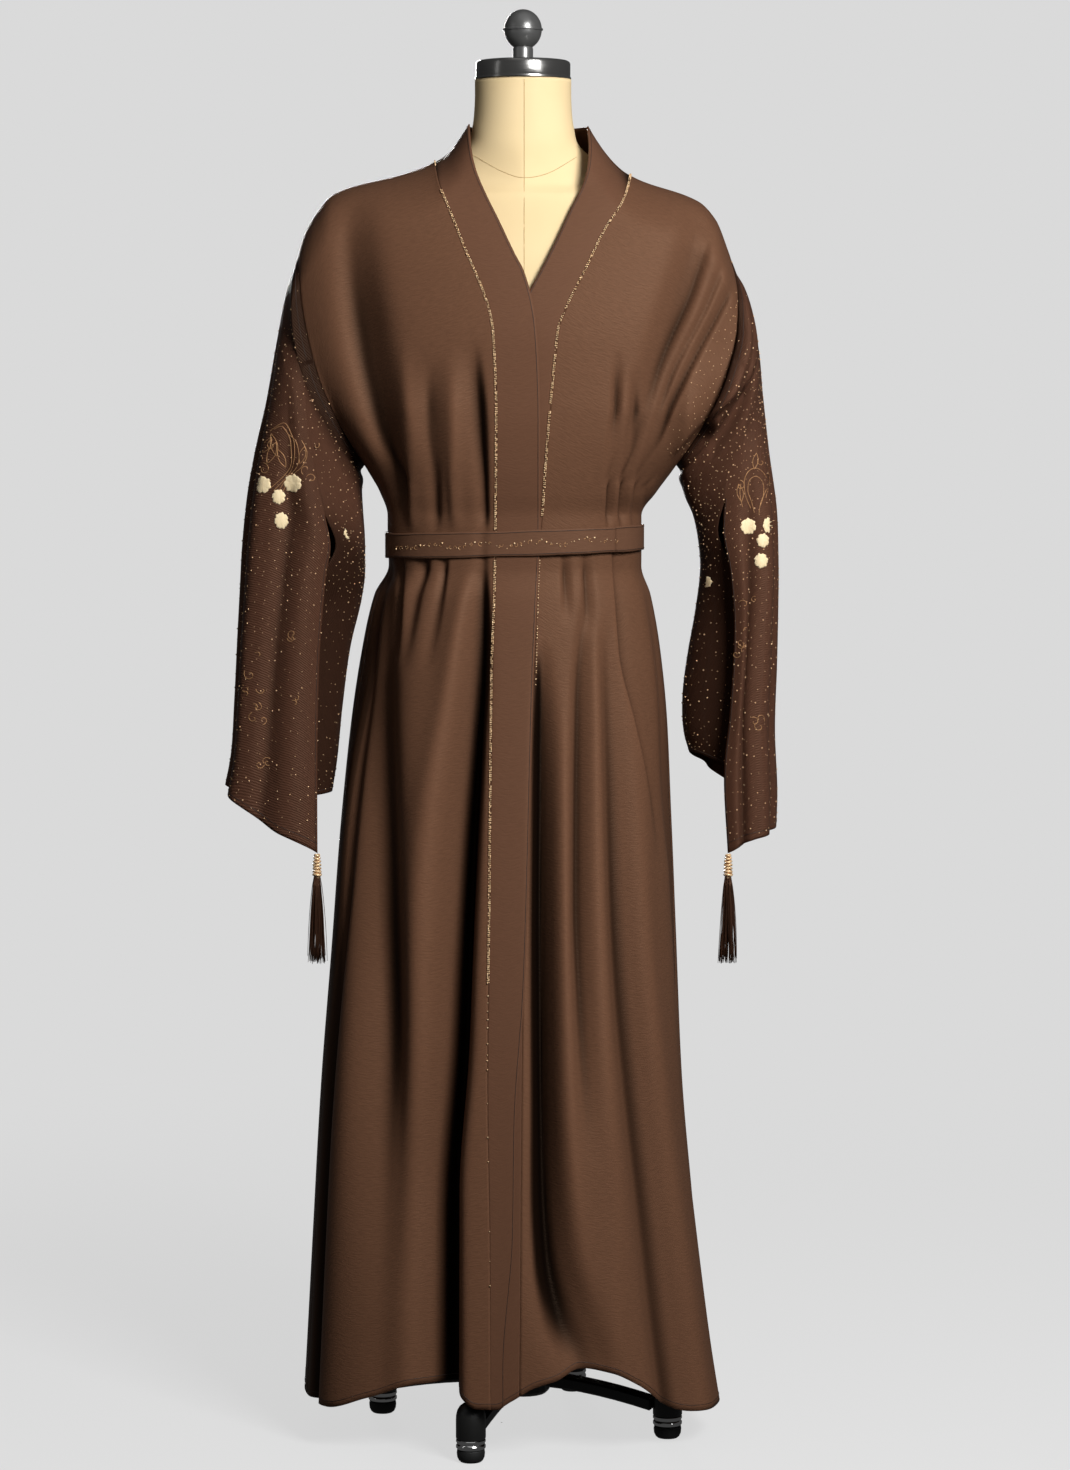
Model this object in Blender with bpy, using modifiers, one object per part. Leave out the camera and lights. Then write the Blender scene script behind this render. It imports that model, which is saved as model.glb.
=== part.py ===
"""Abaya cloak in brown crepe, tied with its belt, on a limbless dress form with a four-legged stand.

Metres, +Z up, the front of the garment towards -Y.  Left and right in the names are the wearer's, so the
wearer's right side lies at -X.  Tables are in millimetres, measured from the pole's axis.
"""
import math

import bmesh
import bpy
import numpy as np

MM = 0.001

# Driving sizes of the cloth
WALL = 1.5 * MM
SEAM = 0.3 * MM
LAYER = 2.8 * MM
UNDERARM = 1090.0
WAIST_TOP = 1034.0
WAIST_LOW = 978.0
SECTION_POWER = 2.3
SHOULDER_ROLL = 60.0
ARMHOLE_ROWS = 9
FRONT_COLUMNS = 14
NECK_COLUMNS = 8
BAND_STRIPS = 3
RIM_ORDER = (0.37, 0.21, 1.0)
BELT_HEIGHT = 28.0 * MM
BELT_LOW = 992.0 * MM
BELT_WALL = 2.0 * MM
BELT_GAP = 0.8 * MM
BELT_TILT = 0.031

# Driving sizes of the form and its stand
POLE_RADIUS = 14.0 * MM
FOOT_REACH = 172.0 * MM
LEG_TURN = math.radians(19.4)
FOOT_RADIUS = 16.5 * MM
LEG_START = 30.3
LEG_HEIGHT = (47.5, 30.0)
LEG_THICK = 14.0
LEG_WIDTH = 21.0
HUB_TOP = 92.0

# The pole stands off the middle of the whole, because the sleeves hang unevenly and the hem is deeper behind
POLE_X = 24.8 * MM
POLE_Y = -8.0 * MM

# Plain section of the garment without folds: height, half width to -X and to +X, depth in front and behind
SECTION = (
    (1480, 262, 262, 60, 64),
    (1425, 262, 262, 66, 70),
    (1370, 256, 252, 84, 88),
    (1300, 246, 246, 102, 104),
    (1220, 232, 238, 113, 108),
    (1150, 205, 205, 114, 105),
    (1090, 177, 171, 109, 101),
    (1060, 160, 149, 104, 98),
    (1034, 151.5, 132.5, 99, 94),
    (978, 151.5, 132.5, 99, 94),
    (945, 168, 143, 107, 103),
    (885, 182, 154, 116, 116),
    (800, 195, 163, 127, 132),
    (700, 205, 168, 139, 148),
    (560, 215, 175, 156, 166),
    (400, 228, 184, 172, 182),
    (250, 237, 200, 182, 196),
    (130, 244, 215, 188, 204),
    (45, 249, 229, 191, 208),
)

# Heights of the rows from the underarm to the hem, before the hem's own wave
SKIRT_ROWS = (1090, 1062, 1034, 978, 948, 905, 850, 785, 710, 630, 545, 460, 375, 290, 205, 125, 60)
HEM_LEVEL = 60.0

# Shoulder line seen from the front: distance from the pole and height, at -X and at +X
SHOULDER_RIGHT = ((0, 1492), (60, 1468), (98, 1426), (133, 1412), (190, 1398), (212, 1389), (228, 1371),
                  (243, 1345), (249, 1325), (275, 1240))
SHOULDER_LEFT = ((0, 1492), (72, 1462), (119, 1411), (195, 1382), (214, 1362), (229, 1325), (260, 1240))
NECK_POINT = {-1: 98.0, 1: 119.0}

# Armhole seam seen from the front: height and distance from the pole, and how far it stands out in depth
ARMHOLE_RIGHT = ((1090, 177), (1136, 203), (1189, 226), (1263, 243), (1325, 249))
ARMHOLE_LEFT = ((1090, 171), (1136, 200), (1189, 224), (1240, 236), (1277, 237), (1325, 229))
ARMHOLE_DEPTH = {-1: 52.0, 1: 54.0}
ARMHOLE_FULL = 0.45
TIP_LEAN = 50.0
PIT_LEAN = -65.0

# Seam between the upper band and its panel: height and X; the same for the under band
SEAM_RIGHT = ((1426, -98), (1396, -91), (1372, -81), (1322, -61), (1285, -45), (1260, -36.5), (1234, -32),
              (1150, -29), (1010, -30), (938, -31.5), (870, -34), (618, -36.5), (421, -38.5), (243, -36),
              (60, -35))
SEAM_LEFT = ((1411, 119), (1395, 115), (1377, 108), (1349, 90), (1302, 67), (1277, 54), (1260, 46), (1240, 38.5),
             (1208, 35), (1121, 27), (1035, 21.5), (985, 16.5), (857, 12), (680, 2), (60, -4))

# Free edge of each band: height on the seam it faces, then the edge's own X and height
EDGE_RIGHT = ((1426, -60, 1467), (1421, -59, 1455), (1405, -56, 1432), (1396, -52, 1416), (1381, -43, 1393),
              (1347, -26, 1358), (1306, -8, 1320), (1285, 1, 1303), (1260, 10, 1272), (1234, 14.5, 1245),
              (1205, 17, 1210), (1150, 19, 1150), (1021, 19, 1021), (940, 15.5, 940), (857, 12, 857),
              (618, 5.5, 618), (520, 2, 520), (372, -8, 372), (243, -10, 243), (102, -21, 102), (60, -21, 60))
EDGE_LEFT = ((1411, 72, 1462), (1403, 73, 1443), (1395, 72, 1424), (1377, 67, 1402), (1349, 52, 1370),
             (1327, 38, 1340), (1302, 23, 1310), (1277, 9, 1284), (1260, 0, 1266), (1240, -8, 1246),
             (1208, -14, 1208), (1121, -21, 1121), (60, -30, 60))
NECK_RING = (5.5, 67.0, 68.0)
NECK_STAND = 1466.0
BAND_SAG = 7.0

# Hem height against X, in front and behind
HEM_FRONT = ((-250, 48), (-211, 50), (-175, 66), (-124, 84), (-88, 84), (-70, 75), (-50, 64), (-30, 64),
             (-12, 73), (12, 87), (38, 95), (65, 106), (100, 100), (127, 86), (165, 58), (190, 44), (230, 40))
HEM_BACK = ((-250, 56), (-190, 72), (-130, 58), (-60, 76), (0, 60), (70, 78), (140, 58), (190, 66), (230, 44))

# Largest folds of the skirt: degrees round from the front at the waist, half way and at the hem, half width
# in degrees at the waist and hem, and how far the cloth stands out (or in, below zero) at those three places
SKIRT_FOLDS = (
    ("valley by the band", -14, -18, -23, 5, 8, -7, -30, -44),
    ("roll beside the band", -10, -10, -12, 4, 5, 0, 3, 8),
    ("lit roll", -23, -29, -40, 6, 12, 5, 7, 14),
    ("shallow valley", -31, -42, -56, 6, 9, -6, -9, -3),
    ("side roll", -46, -57, -68, 8, 8, 0, 6, 8),
    ("side seam valley right", -88, -92, -88, 6, 9, -4, -10, -15),
    ("under the band", 7, 8, 15, 4, 7, -3, -15, -27),
    ("middle dip", 22, 21, 22, 5, 6, -4, -6, 2),
    ("long valley", 48, 38, 45, 5, 8, -5, -13, -24),
    ("right roll", 60, 56, 60, 7, 10, 3, 7, 12),
    ("side valley left", 78, 84, 92, 6, 9, -3, -8, -13),
    ("back valley 1", -112, -116, -118, 6, 9, -4, -14, -24),
    ("back roll 1", -132, -135, -136, 8, 10, 3, 8, 10),
    ("back valley 2", -152, -154, -156, 6, 9, -6, -18, -30),
    ("back valley 3", 176, 178, 180, 6, 9, -5, -15, -26),
    ("back roll 2", 158, 161, 162, 8, 9, 2, 8, 8),
    ("back valley 4", 140, 138, 136, 6, 9, -5, -16, -28),
    ("back valley 5", 112, 112, 112, 6, 9, -4, -12, -20),
)

# Soft drags of the bodice: side, X and height at the upper end, at the lower end, half width, depth
BODICE_FOLDS = (
    ("hollow before the armhole right", -1, -186, 1330, -140, 1090, 20, -15),
    ("blouse right outer", -1, -128, 1180, -112, 1036, 12, -9),
    ("blouse right inner", -1, -52, 1180, -46, 1036, 9, -8),
    ("roll right", -1, -78, 1190, -74, 1036, 14, 6),
    ("drag left", 1, 196, 1345, 132, 1120, 16, -12),
    ("pleat left inner", 1, 108, 1170, 101, 1036, 6, -6),
    ("pleat left outer", 1, 130, 1150, 122, 1036, 6, -6),
    ("shoulder blade dip right", -2, -150, 1320, -120, 1060, 24, -10),
    ("shoulder blade dip left", 2, 150, 1320, 120, 1060, 24, -10),
    ("back blouse", 2, 20, 1150, 12, 1036, 14, -8),
)

# Sleeves, from below the armhole to the cuff: outer edge X and height, inner edge X and height, depth in front
# and behind, and the middle of the sleeve in depth
SLEEVE_RIGHT = (
    (261, 1290, 179, 1076, 55, 55, 1),
    (275, 1225, 180, 1062, 59, 57, 2),
    (287, 1160, 179, 1040, 62, 60, 3),
    (300, 1105, 177, 1008, 63, 62, 4),
    (309, 1056, 177, 985, 62, 62, 4),
    (315, 1000, 177, 962, 61, 62, 4),
    (318, 950, 181, 935, 60, 61, 4),
    (321, 900, 192, 890, 59, 60, 4),
    (325, 838, 202, 830, 58, 60, 4),
    (330, 783, 209, 776, 58, 60, 4),
    (336, 735, 214, 722, 58, 60, 4),
)
SLEEVE_LEFT = (
    (246, 1288, 174, 1077, 56, 56, 1),
    (262, 1222, 178, 1064, 57, 57, 2),
    (268, 1165, 182, 1052, 50, 60, 3),
    (275, 1105, 190, 1034, 50, 60, 4),
    (284, 1040, 196, 1006, 54, 60, 4),
    (286, 985, 198, 975, 58, 60, 4),
    (286, 930, 192, 925, 59, 60, 4),
    (285, 870, 184, 880, 60, 60, 4),
    (283, 805, 178, 836, 60, 60, 4),
    (286, 748, 180, 804, 59, 60, 4),
    (285, 700, 186, 770, 58, 60, 4),
)
SLEEVE_POWER = 2.2
SLEEVE_COLUMNS = 2 * ARMHOLE_ROWS
SLIT_COLUMN = 6
ARMHOLE_FADE = 4
SLEEVE_CAP = (4.0, 9.0, 8.0)
SLEEVE_BOW = 1.15
SLIT_RING = {-1: 5, 1: 5}
SLIT_BEHIND = 22.0
SLIT_LAP = 40.0
LAP_GROWS = (0.143, 0.5)

# Front flap of each sleeve: height and X of its free edge
FLAP_EDGE = {
    -1: ((660, -229), (712, -229), (809, -228), (873, -226), (939, -221), (990, -215), (1035, -205)),
    1: ((660, 228), (699, 223), (757, 224), (833, 231), (910, 234), (960, 231), (1012, 222)),
}

# Cuff hem: degrees round the sleeve (120 the flap's edge, 0 outermost, -180 innermost) and height
CUFF = {
    -1: ((120, 659), (90, 679), (60, 705), (30, 722), (0, 731), (-90, 728), (-180, 722), (-240, 714)),
    1: ((120, 659), (90, 668), (60, 676), (30, 681), (0, 687), (-90, 730), (-180, 768), (-240, 742)),
}

CUFF_TIP = {-1: (-229.5, -49.0, 659.0), 1: (228.5, -49.0, 659.0)}

# Tassels: a head of a few bound turns, and its strands; the profile is height and radius against the head's
TASSEL_HEAD = 27 * MM
TASSEL_LENGTH = 122 * MM
TASSEL_RADIUS = 4.2 * MM
TASSEL_SPREAD = 12.5 * MM
TASSEL_GRID = 6
TASSEL_PROFILE = ((0.1, 1.1), (0.22, 0.85), (0.5, 0.95), (0.9, 0.88), (1.0, 0.5))
STRAND_GAP = 0.00012
STRAND_STEPS = 2
STRAND_UNEVEN = 0.03
TASSEL_HANG = 0.4 * MM

# Skin of the form: height, half width, depth in front and behind, and how full its section is; the shoulders
# take their height from the cloth's shoulder line
FORM_NECK = (
    (1516, 53.4, 50, 50, 2.0),
    (1492, 53.6, 51, 51, 2.0),
    (1463, 56.5, 53, 53, 2.0),
    (1444, 62, 56, 54, 1.9),
    (1431, 76, 58, 56, 1.6),
    (1418, 96, 60, 58, 1.4),
)
FORM_SHOULDER = ((128, 63, 60, 1.3), (146, 66, 63, 1.3), (164, 70, 66, 1.4), (180, 74, 70, 1.5))
FORM_TORSO = (
    (1355, 186, 80, 77, 1.7),
    (1290, 184, 91, 83, 2.0),
    (1230, 170, 98, 84, 2.2),
    (1160, 150, 97, 82, 2.3),
    (1090, 130, 92, 80, 2.3),
    (1006, 120, 84, 78, 2.3),
    (930, 134, 90, 88, 2.3),
    (850, 150, 98, 104, 2.3),
    (760, 156, 100, 108, 2.3),
    (715, 152, 96, 104, 2.3),
)
FORM_SIDES = 28
FORM_CLEAR = 2.6

# Turned pieces, radius and height, from the top down the outer side
NECK_CAP = ((0, 1537), (47, 1537), (51.3, 1536), (52.5, 1533.5), (52.5, 1519.5), (53.3, 1518.5), (53.3, 1516.3),
            (0, 1516.3))
BALL = (20.9, 22.2, 1571.3)
STEM_RADIUS = 11.2
STEM_TOP = 1550.0
STEM_LOW = 1537.3
HUB = ((0, HUB_TOP), (18, HUB_TOP), (22, HUB_TOP - 4), (30, 70), (30, 42), (26, 38), (0, 38))
FOOT_HOUSING = ((0, 66), (7, 65), (12, 61.5), (15.5, 56), (16.5, 49), (16.5, 25.6), (0, 25.6))
FOOT_RING = ((0, 25.3), (15.8, 25.3), (16.3, 23.5), (15.2, 20.4), (16.3, 17.4), (15.6, 14.6), (0, 14.6))
FOOT_GLIDE = ((0, 14.3), (13.8, 14.3), (15.6, 10.5), (15.2, 5), (11.5, 0), (0, 0))


def curve(table, at, column=1):
    """Smooth curve through a table's first column and another one, level at each hill and hollow."""
    rows = sorted(((row[0], row[column]) for row in table), key=lambda pair: pair[0])
    x = np.array([row[0] for row in rows], float)
    y = np.array([row[1] for row in rows], float)
    step = np.diff(x)
    slope = np.diff(y) / step
    lean = np.zeros_like(y)
    both = slope[:-1] * slope[1:]
    total = slope[:-1] + slope[1:]
    lean[1:-1] = np.where(both > 0, 2 * both / np.where(both > 0, total, 1), 0)
    lean[0] = slope[0]
    lean[-1] = slope[-1]
    at = np.clip(np.asarray(at, float), x[0], x[-1])
    k = np.clip(np.searchsorted(x, at) - 1, 0, len(step) - 1)
    t = (at - x[k]) / step[k]
    start = (1 + 2 * t) * (1 - t) ** 2 * y[k] + t * (1 - t) ** 2 * step[k] * lean[k]
    end = t * t * (3 - 2 * t) * y[k + 1] + t * t * (t - 1) * step[k] * lean[k + 1]
    return start + end


def ease(value, low, high):
    """Zero below low, one above high and a smooth step between."""
    t = np.clip((np.asarray(value, float) - low) / (high - low), 0, 1)
    return t * t * (3 - 2 * t)


def shoulder(x):
    """Height of the shoulder line above a place across the garment."""
    return np.where(x < 0, curve(SHOULDER_RIGHT, np.abs(x)), curve(SHOULDER_LEFT, np.abs(x)))


def hem(x, behind):
    return np.where(behind, curve(HEM_BACK, x), curve(HEM_FRONT, x))


def side_angle(side, z):
    """Where the side seam runs, in degrees round from the front: on the right it swings forward below."""
    if side < 0:
        return -90 + 13 * (1 - ease(z, 250, 950))
    return 90 + 0 * z


def skirt_fold(angle, z):
    """Sum of the skirt's folds: each is a soft hill across its own angle that grows from the waist down."""
    down = np.clip((WAIST_LOW - z) / (WAIST_LOW - HEM_LEVEL), 0, 1)
    total = 0
    for _, top, middle, low, wide_top, wide_low, out_top, out_middle, out_low in SKIRT_FOLDS:
        path = curve(((0, top), (0.42, middle), (1, low)), down)
        width = wide_top + (wide_low - wide_top) * down
        size = curve(((0, 0), (0.07, out_top), (0.42, out_middle), (1, out_low)), down)
        away = (angle - path + 180) % 360 - 180
        total = total + size * np.exp(-(away / width) ** 2)
    return total


def bodice_fold(x, z, face):
    """Sum of the bodice's drags: each is a soft trough along its own line."""
    total = 0
    for _, side, x_top, z_top, x_low, z_low, width, size in BODICE_FOLDS:
        behind = abs(side) == 2
        if behind != (face > 0):
            continue
        t = np.clip((z_top - z) / (z_top - z_low), 0, 1)
        line = x_top + (x_low - x_top) * t
        fade = ease(z, z_top + 50, z_top - 60) * ease(z, WAIST_TOP, WAIST_TOP + 26)
        total = total + size * fade * np.exp(-((x - line) / width) ** 2)
    return total


def depth_at(x, z, reach, stand, power, face):
    """Depth of the plain garment: full in the middle, falling to its stand-off at the reach, rolled at the top."""
    full = curve(SECTION, z, 3 if face < 0 else 4)
    share = np.clip(1 - (np.abs(x) / reach) ** SECTION_POWER, 0, 1) ** power
    below = np.clip((shoulder(x) - z) / SHOULDER_ROLL, 0, 1)
    roll = np.sqrt(1 - (1 - below) ** 2)
    return face * (stand + (full - stand) * share) * roll


def upper_rows(side):
    """Rows of the armhole from the shoulder tip down: height, reach, stand-off and the section's fullness."""
    table = ARMHOLE_RIGHT if side < 0 else ARMHOLE_LEFT
    tip = table[-1][0]
    turn = np.linspace(0, math.pi / 2, ARMHOLE_ROWS + 1)
    height = UNDERARM + (tip - UNDERARM) * np.cos(turn)
    share = (height - UNDERARM) / (tip - UNDERARM)
    stand = ARMHOLE_DEPTH[side] * np.sqrt(1 - (1 - np.clip(share / ARMHOLE_FULL, 0, 1)) ** 2)
    power = 1 / SECTION_POWER + 0.38 * ease(share, 0, 0.5)
    return height, curve(table, height), stand, power


def shift_of(side, u, amount=1.0):
    """The left side runs one layer further in than the right, and meets the back at its side seam."""
    return 0.0 if side < 0 else -(LAYER / MM) * (1 - ease(u, 0.55, 1.0)) * amount


def width_at(angle, z):
    return np.where(angle < 0, curve(SECTION, z, 1), curve(SECTION, z, 2))


def skirt_point(angle, z, shift):
    """Point of the garment below the underarm, by its angle round the pole and its row's height."""
    width = width_at(angle, z)
    behind = np.abs(angle) > 90
    depth = np.where(behind, curve(SECTION, z, 4), curve(SECTION, z, 3))
    x = width * np.sin(np.radians(angle))
    share = np.clip(1 - (np.abs(x) / width) ** SECTION_POWER, 0, 1) ** (1 / SECTION_POWER)
    y = np.where(behind, 1, -1) * depth * share
    drop = (hem(x, behind) - HEM_LEVEL) * (1 - ease(z, HEM_LEVEL, 620))
    out = skirt_fold(angle, z) + shift
    out = out + np.where(behind, bodice_fold(x, z, 1), bodice_fold(x, z, -1))
    return np.stack([x + out * np.sin(np.radians(angle)), y - out * np.cos(np.radians(angle)), z + drop], -1)


def bodice_point(x, z, spread, reach, stand, power, face, shift):
    """Point of the garment above the underarm, by its place across the front or back."""
    y = depth_at(x, z, reach, stand, power, face)
    settle = 1 - ease(spread, 0.95, 1.0)
    y = y + face * (bodice_fold(x, z, face) + shift) * settle
    return np.stack([x, y, z + 0 * x], -1)


def back_top(x):
    """Top of the back panel: the shoulder line, and a straight seam behind the neck."""
    right = float(shoulder(np.array(-NECK_POINT[-1])))
    left = float(shoulder(np.array(NECK_POINT[1])))
    share = (x + NECK_POINT[-1]) / (NECK_POINT[1] + NECK_POINT[-1])
    inside = (x > -NECK_POINT[-1]) & (x < NECK_POINT[1])
    return np.where(inside, right + (left - right) * share, shoulder(x))


def top_places(side, face):
    """Distances from the pole, along the shoulder seam, at which the columns of a half panel start."""
    neck = NECK_POINT[side]
    tip = upper_rows(side)[1][0]
    along = neck + (tip - neck) * np.linspace(0, 1, FRONT_COLUMNS + 1)
    if face < 0:
        return along
    behind = neck * np.sin(np.radians(np.linspace(0, 90, NECK_COLUMNS // 2 + 1)))
    return np.concatenate([behind[:-1], along])


def half_panel(side, face):
    """Grid of one half of the garment: rows from the shoulder to the hem, columns from the middle outwards."""
    seam = SEAM_RIGHT if side < 0 else SEAM_LEFT
    top = top_places(side, face)
    u = np.linspace(0, 1, len(top))[None, :]
    z = np.array(SKIRT_ROWS, float)[:, None]
    if face < 0:
        seam_x = curve(seam, z)
        start = np.degrees(np.arcsin(seam_x / width_at(seam_x, z)))
    else:
        start = np.full_like(z, side * 180.0)
    angle = start + (side_angle(side, z) - start) * u
    shift = shift_of(side, u) if face < 0 else 0.0
    lower = skirt_point(angle, z, shift)

    height, reach, stand, power = (values[:-1, None] for values in upper_rows(side))
    spread = (height - UNDERARM) / (height[0] - UNDERARM)
    top_z = shoulder(side * top) if face < 0 else back_top(side * top)
    z = UNDERARM + (top_z - UNDERARM) * spread
    inner = side * curve(seam, z[:, :1]) if face < 0 else 0 * height
    low_place = side * lower[0, :, 0]
    low_place = (low_place - low_place[0]) / (low_place[-1] - low_place[0])
    top_place = (top - top[0]) / (top[-1] - top[0])
    place = low_place + (top_place - low_place) * spread ** 2
    x = side * (inner + (reach - inner) * place)
    upper = bodice_point(x, z, spread, reach, stand, power, face, shift)
    return np.concatenate([upper, lower])


def back_panel():
    right = half_panel(-1, 1)
    left = half_panel(1, 1)
    return np.concatenate([right[:, ::-1], left[:, 1:]], axis=1)


def band(side, front, back):
    """Grid of a front band: rows from the centre back round the neck and down to the hem.

    Its first column is the seam, shared with the panels, and its last the free edge.
    """
    seam_table = SEAM_RIGHT if side < 0 else SEAM_LEFT
    edge_table = EDGE_RIGHT if side < 0 else EDGE_LEFT
    across = np.linspace(0, 1, BAND_STRIPS + 1)[None, :]
    shift = shift_of(side, 0.0)
    height, reach, stand, power = (values[:-1, None] for values in upper_rows(side))
    spread = (height - UNDERARM) / (height[0] - UNDERARM)
    seam_z = UNDERARM + (shoulder(np.array(side * NECK_POINT[side])) - UNDERARM) * spread
    seam_x = curve(seam_table, seam_z)
    x = seam_x + (curve(edge_table, seam_z, 1) - seam_x) * across
    z = seam_z + (curve(edge_table, seam_z, 2) - seam_z) * across
    upper = bodice_point(x, z, spread, reach, stand, power, -1, shift)
    upper[..., 2] -= BAND_SAG * 4 * across * (1 - across) * ease(seam_z, 1360, 1420)

    z = np.array(SKIRT_ROWS, float)[:, None]
    seam_x = curve(seam_table, z)
    x = seam_x + (curve(edge_table, z, 1) - seam_x) * across
    angle = np.degrees(np.arcsin(x / width_at(x, z)))
    lower = skirt_point(angle, z, shift)

    middle = back.shape[1] // 2
    count = NECK_COLUMNS // 2
    columns = middle + side * np.arange(count)
    seam = back[0, columns][:, None, :]
    turn = np.radians(np.linspace(90, 0, count + 1)[:-1])[:, None]
    centre, half, depth = NECK_RING
    across_neck = side * half * np.cos(turn) ** (2 / SECTION_POWER)
    ahead = depth * np.sin(turn) ** (2 / SECTION_POWER)
    edge = np.stack([centre + across_neck, ahead, NECK_STAND + 0 * turn], -1)
    neck = seam + (edge - seam) * across[..., None]
    neck[..., 2] -= BAND_SAG * 4 * across * (1 - across)
    return np.concatenate([neck, upper, lower])


def normals_of(grid, before=None, after=None, above=None):
    """Unit normals by central differences, reading past each seam into the neighbour's points."""
    along = np.gradient(grid, axis=0)
    across = np.gradient(grid, axis=1)
    if before is not None:
        across[:, 0] = grid[:, 1] - before
    if after is not None:
        across[:, -1] = after - grid[:, -2]
    if above is not None:
        along[0] = grid[1] - above
    normal = np.cross(along, across)
    return normal / np.linalg.norm(normal, axis=-1, keepdims=True)


def corner_normal(side, lean):
    """Shared normal where a front, the back and a sleeve meet: leaning so many degrees up from sideways."""
    return np.array([side * math.cos(math.radians(lean)), 0, math.sin(math.radians(lean))])


def pull_back(grid, normals, edges):
    """Moves the edges that are seams half a seam's gap into their own piece; returns outer and inner points."""
    outer = grid * MM
    inner = outer - normals * WALL
    for edge in edges:
        here, beyond = {
            "before": (np.s_[:, 0], np.s_[:, 1]),
            "after": (np.s_[:, -1], np.s_[:, -2]),
            "above": (np.s_[0], np.s_[1]),
        }[edge]
        step = outer[beyond] - outer[here]
        step = step / np.linalg.norm(step, axis=-1, keepdims=True) * SEAM / 2
        outer[here] += step
        inner[here] += step
    return outer, inner


def wall(name, outer, inner, material, joined=None):
    """Closed wall between two grids: both faces, and a rim along every open edge.

    joined[row] says that the row's last point is its first one, as on a tube.  Each quad is cut along its
    shorter diagonal on both faces, and the rim's by one rule, so that the two sides of a seam are cut alike.
    """
    rows, columns = outer.shape[:2]
    index = np.arange(rows * columns).reshape(rows, columns)
    if joined is not None:
        index[joined, -1] = index[joined, 0]
    used = np.unique(index)
    place = np.full(rows * columns, -1)
    place[used] = np.arange(len(used))
    index = place[index]
    points = np.concatenate([outer.reshape(-1, 3)[used], inner.reshape(-1, 3)[used]])
    count = len(used)
    a, b, c, d = (corner.ravel() for corner in (index[:-1, :-1], index[1:, :-1], index[1:, 1:], index[:-1, 1:]))
    falling = np.linalg.norm(points[a] - points[c], axis=1) <= np.linalg.norm(points[b] - points[d], axis=1)
    first = np.where(falling[:, None], np.stack([a, b, c], -1), np.stack([a, b, d], -1))
    second = np.where(falling[:, None], np.stack([a, c, d], -1), np.stack([b, c, d], -1))
    faces = [tuple(int(v) for v in face) for face in np.concatenate([first, second])]
    edges = {}
    for face in faces:
        for a, b in zip(face, face[1:] + face[:1]):
            edges[a, b] = edges.get((a, b), 0) + 1
    rim = [(b, a) for a, b in edges if (b, a) not in edges]
    inside = [tuple(v + count for v in reversed(face)) for face in faces]
    height = points @ np.array(RIM_ORDER)
    sides = []
    for a, b in rim:
        if height[a] > height[b]:
            sides += [(a, b, b + count), (a, b + count, a + count)]
        else:
            sides += [(a, b, a + count), (b, b + count, a + count)]
    mesh = bpy.data.meshes.new(name)
    mesh.from_pydata([tuple(p) for p in points], [], faces + inside + sides)
    return put(name, mesh, material)


def put(name, mesh, material):
    """Adds a finished mesh as a named object with its own material, turned the right way out."""
    work = bmesh.new()
    work.from_mesh(mesh)
    bmesh.ops.recalc_face_normals(work, faces=work.faces)
    work.to_mesh(mesh)
    work.free()
    mesh.materials.append(material)
    mesh.shade_smooth()
    piece = bpy.data.objects.new(name, mesh)
    PARTS.objects.link(piece)
    piece.parent = ROOT
    return piece


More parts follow.
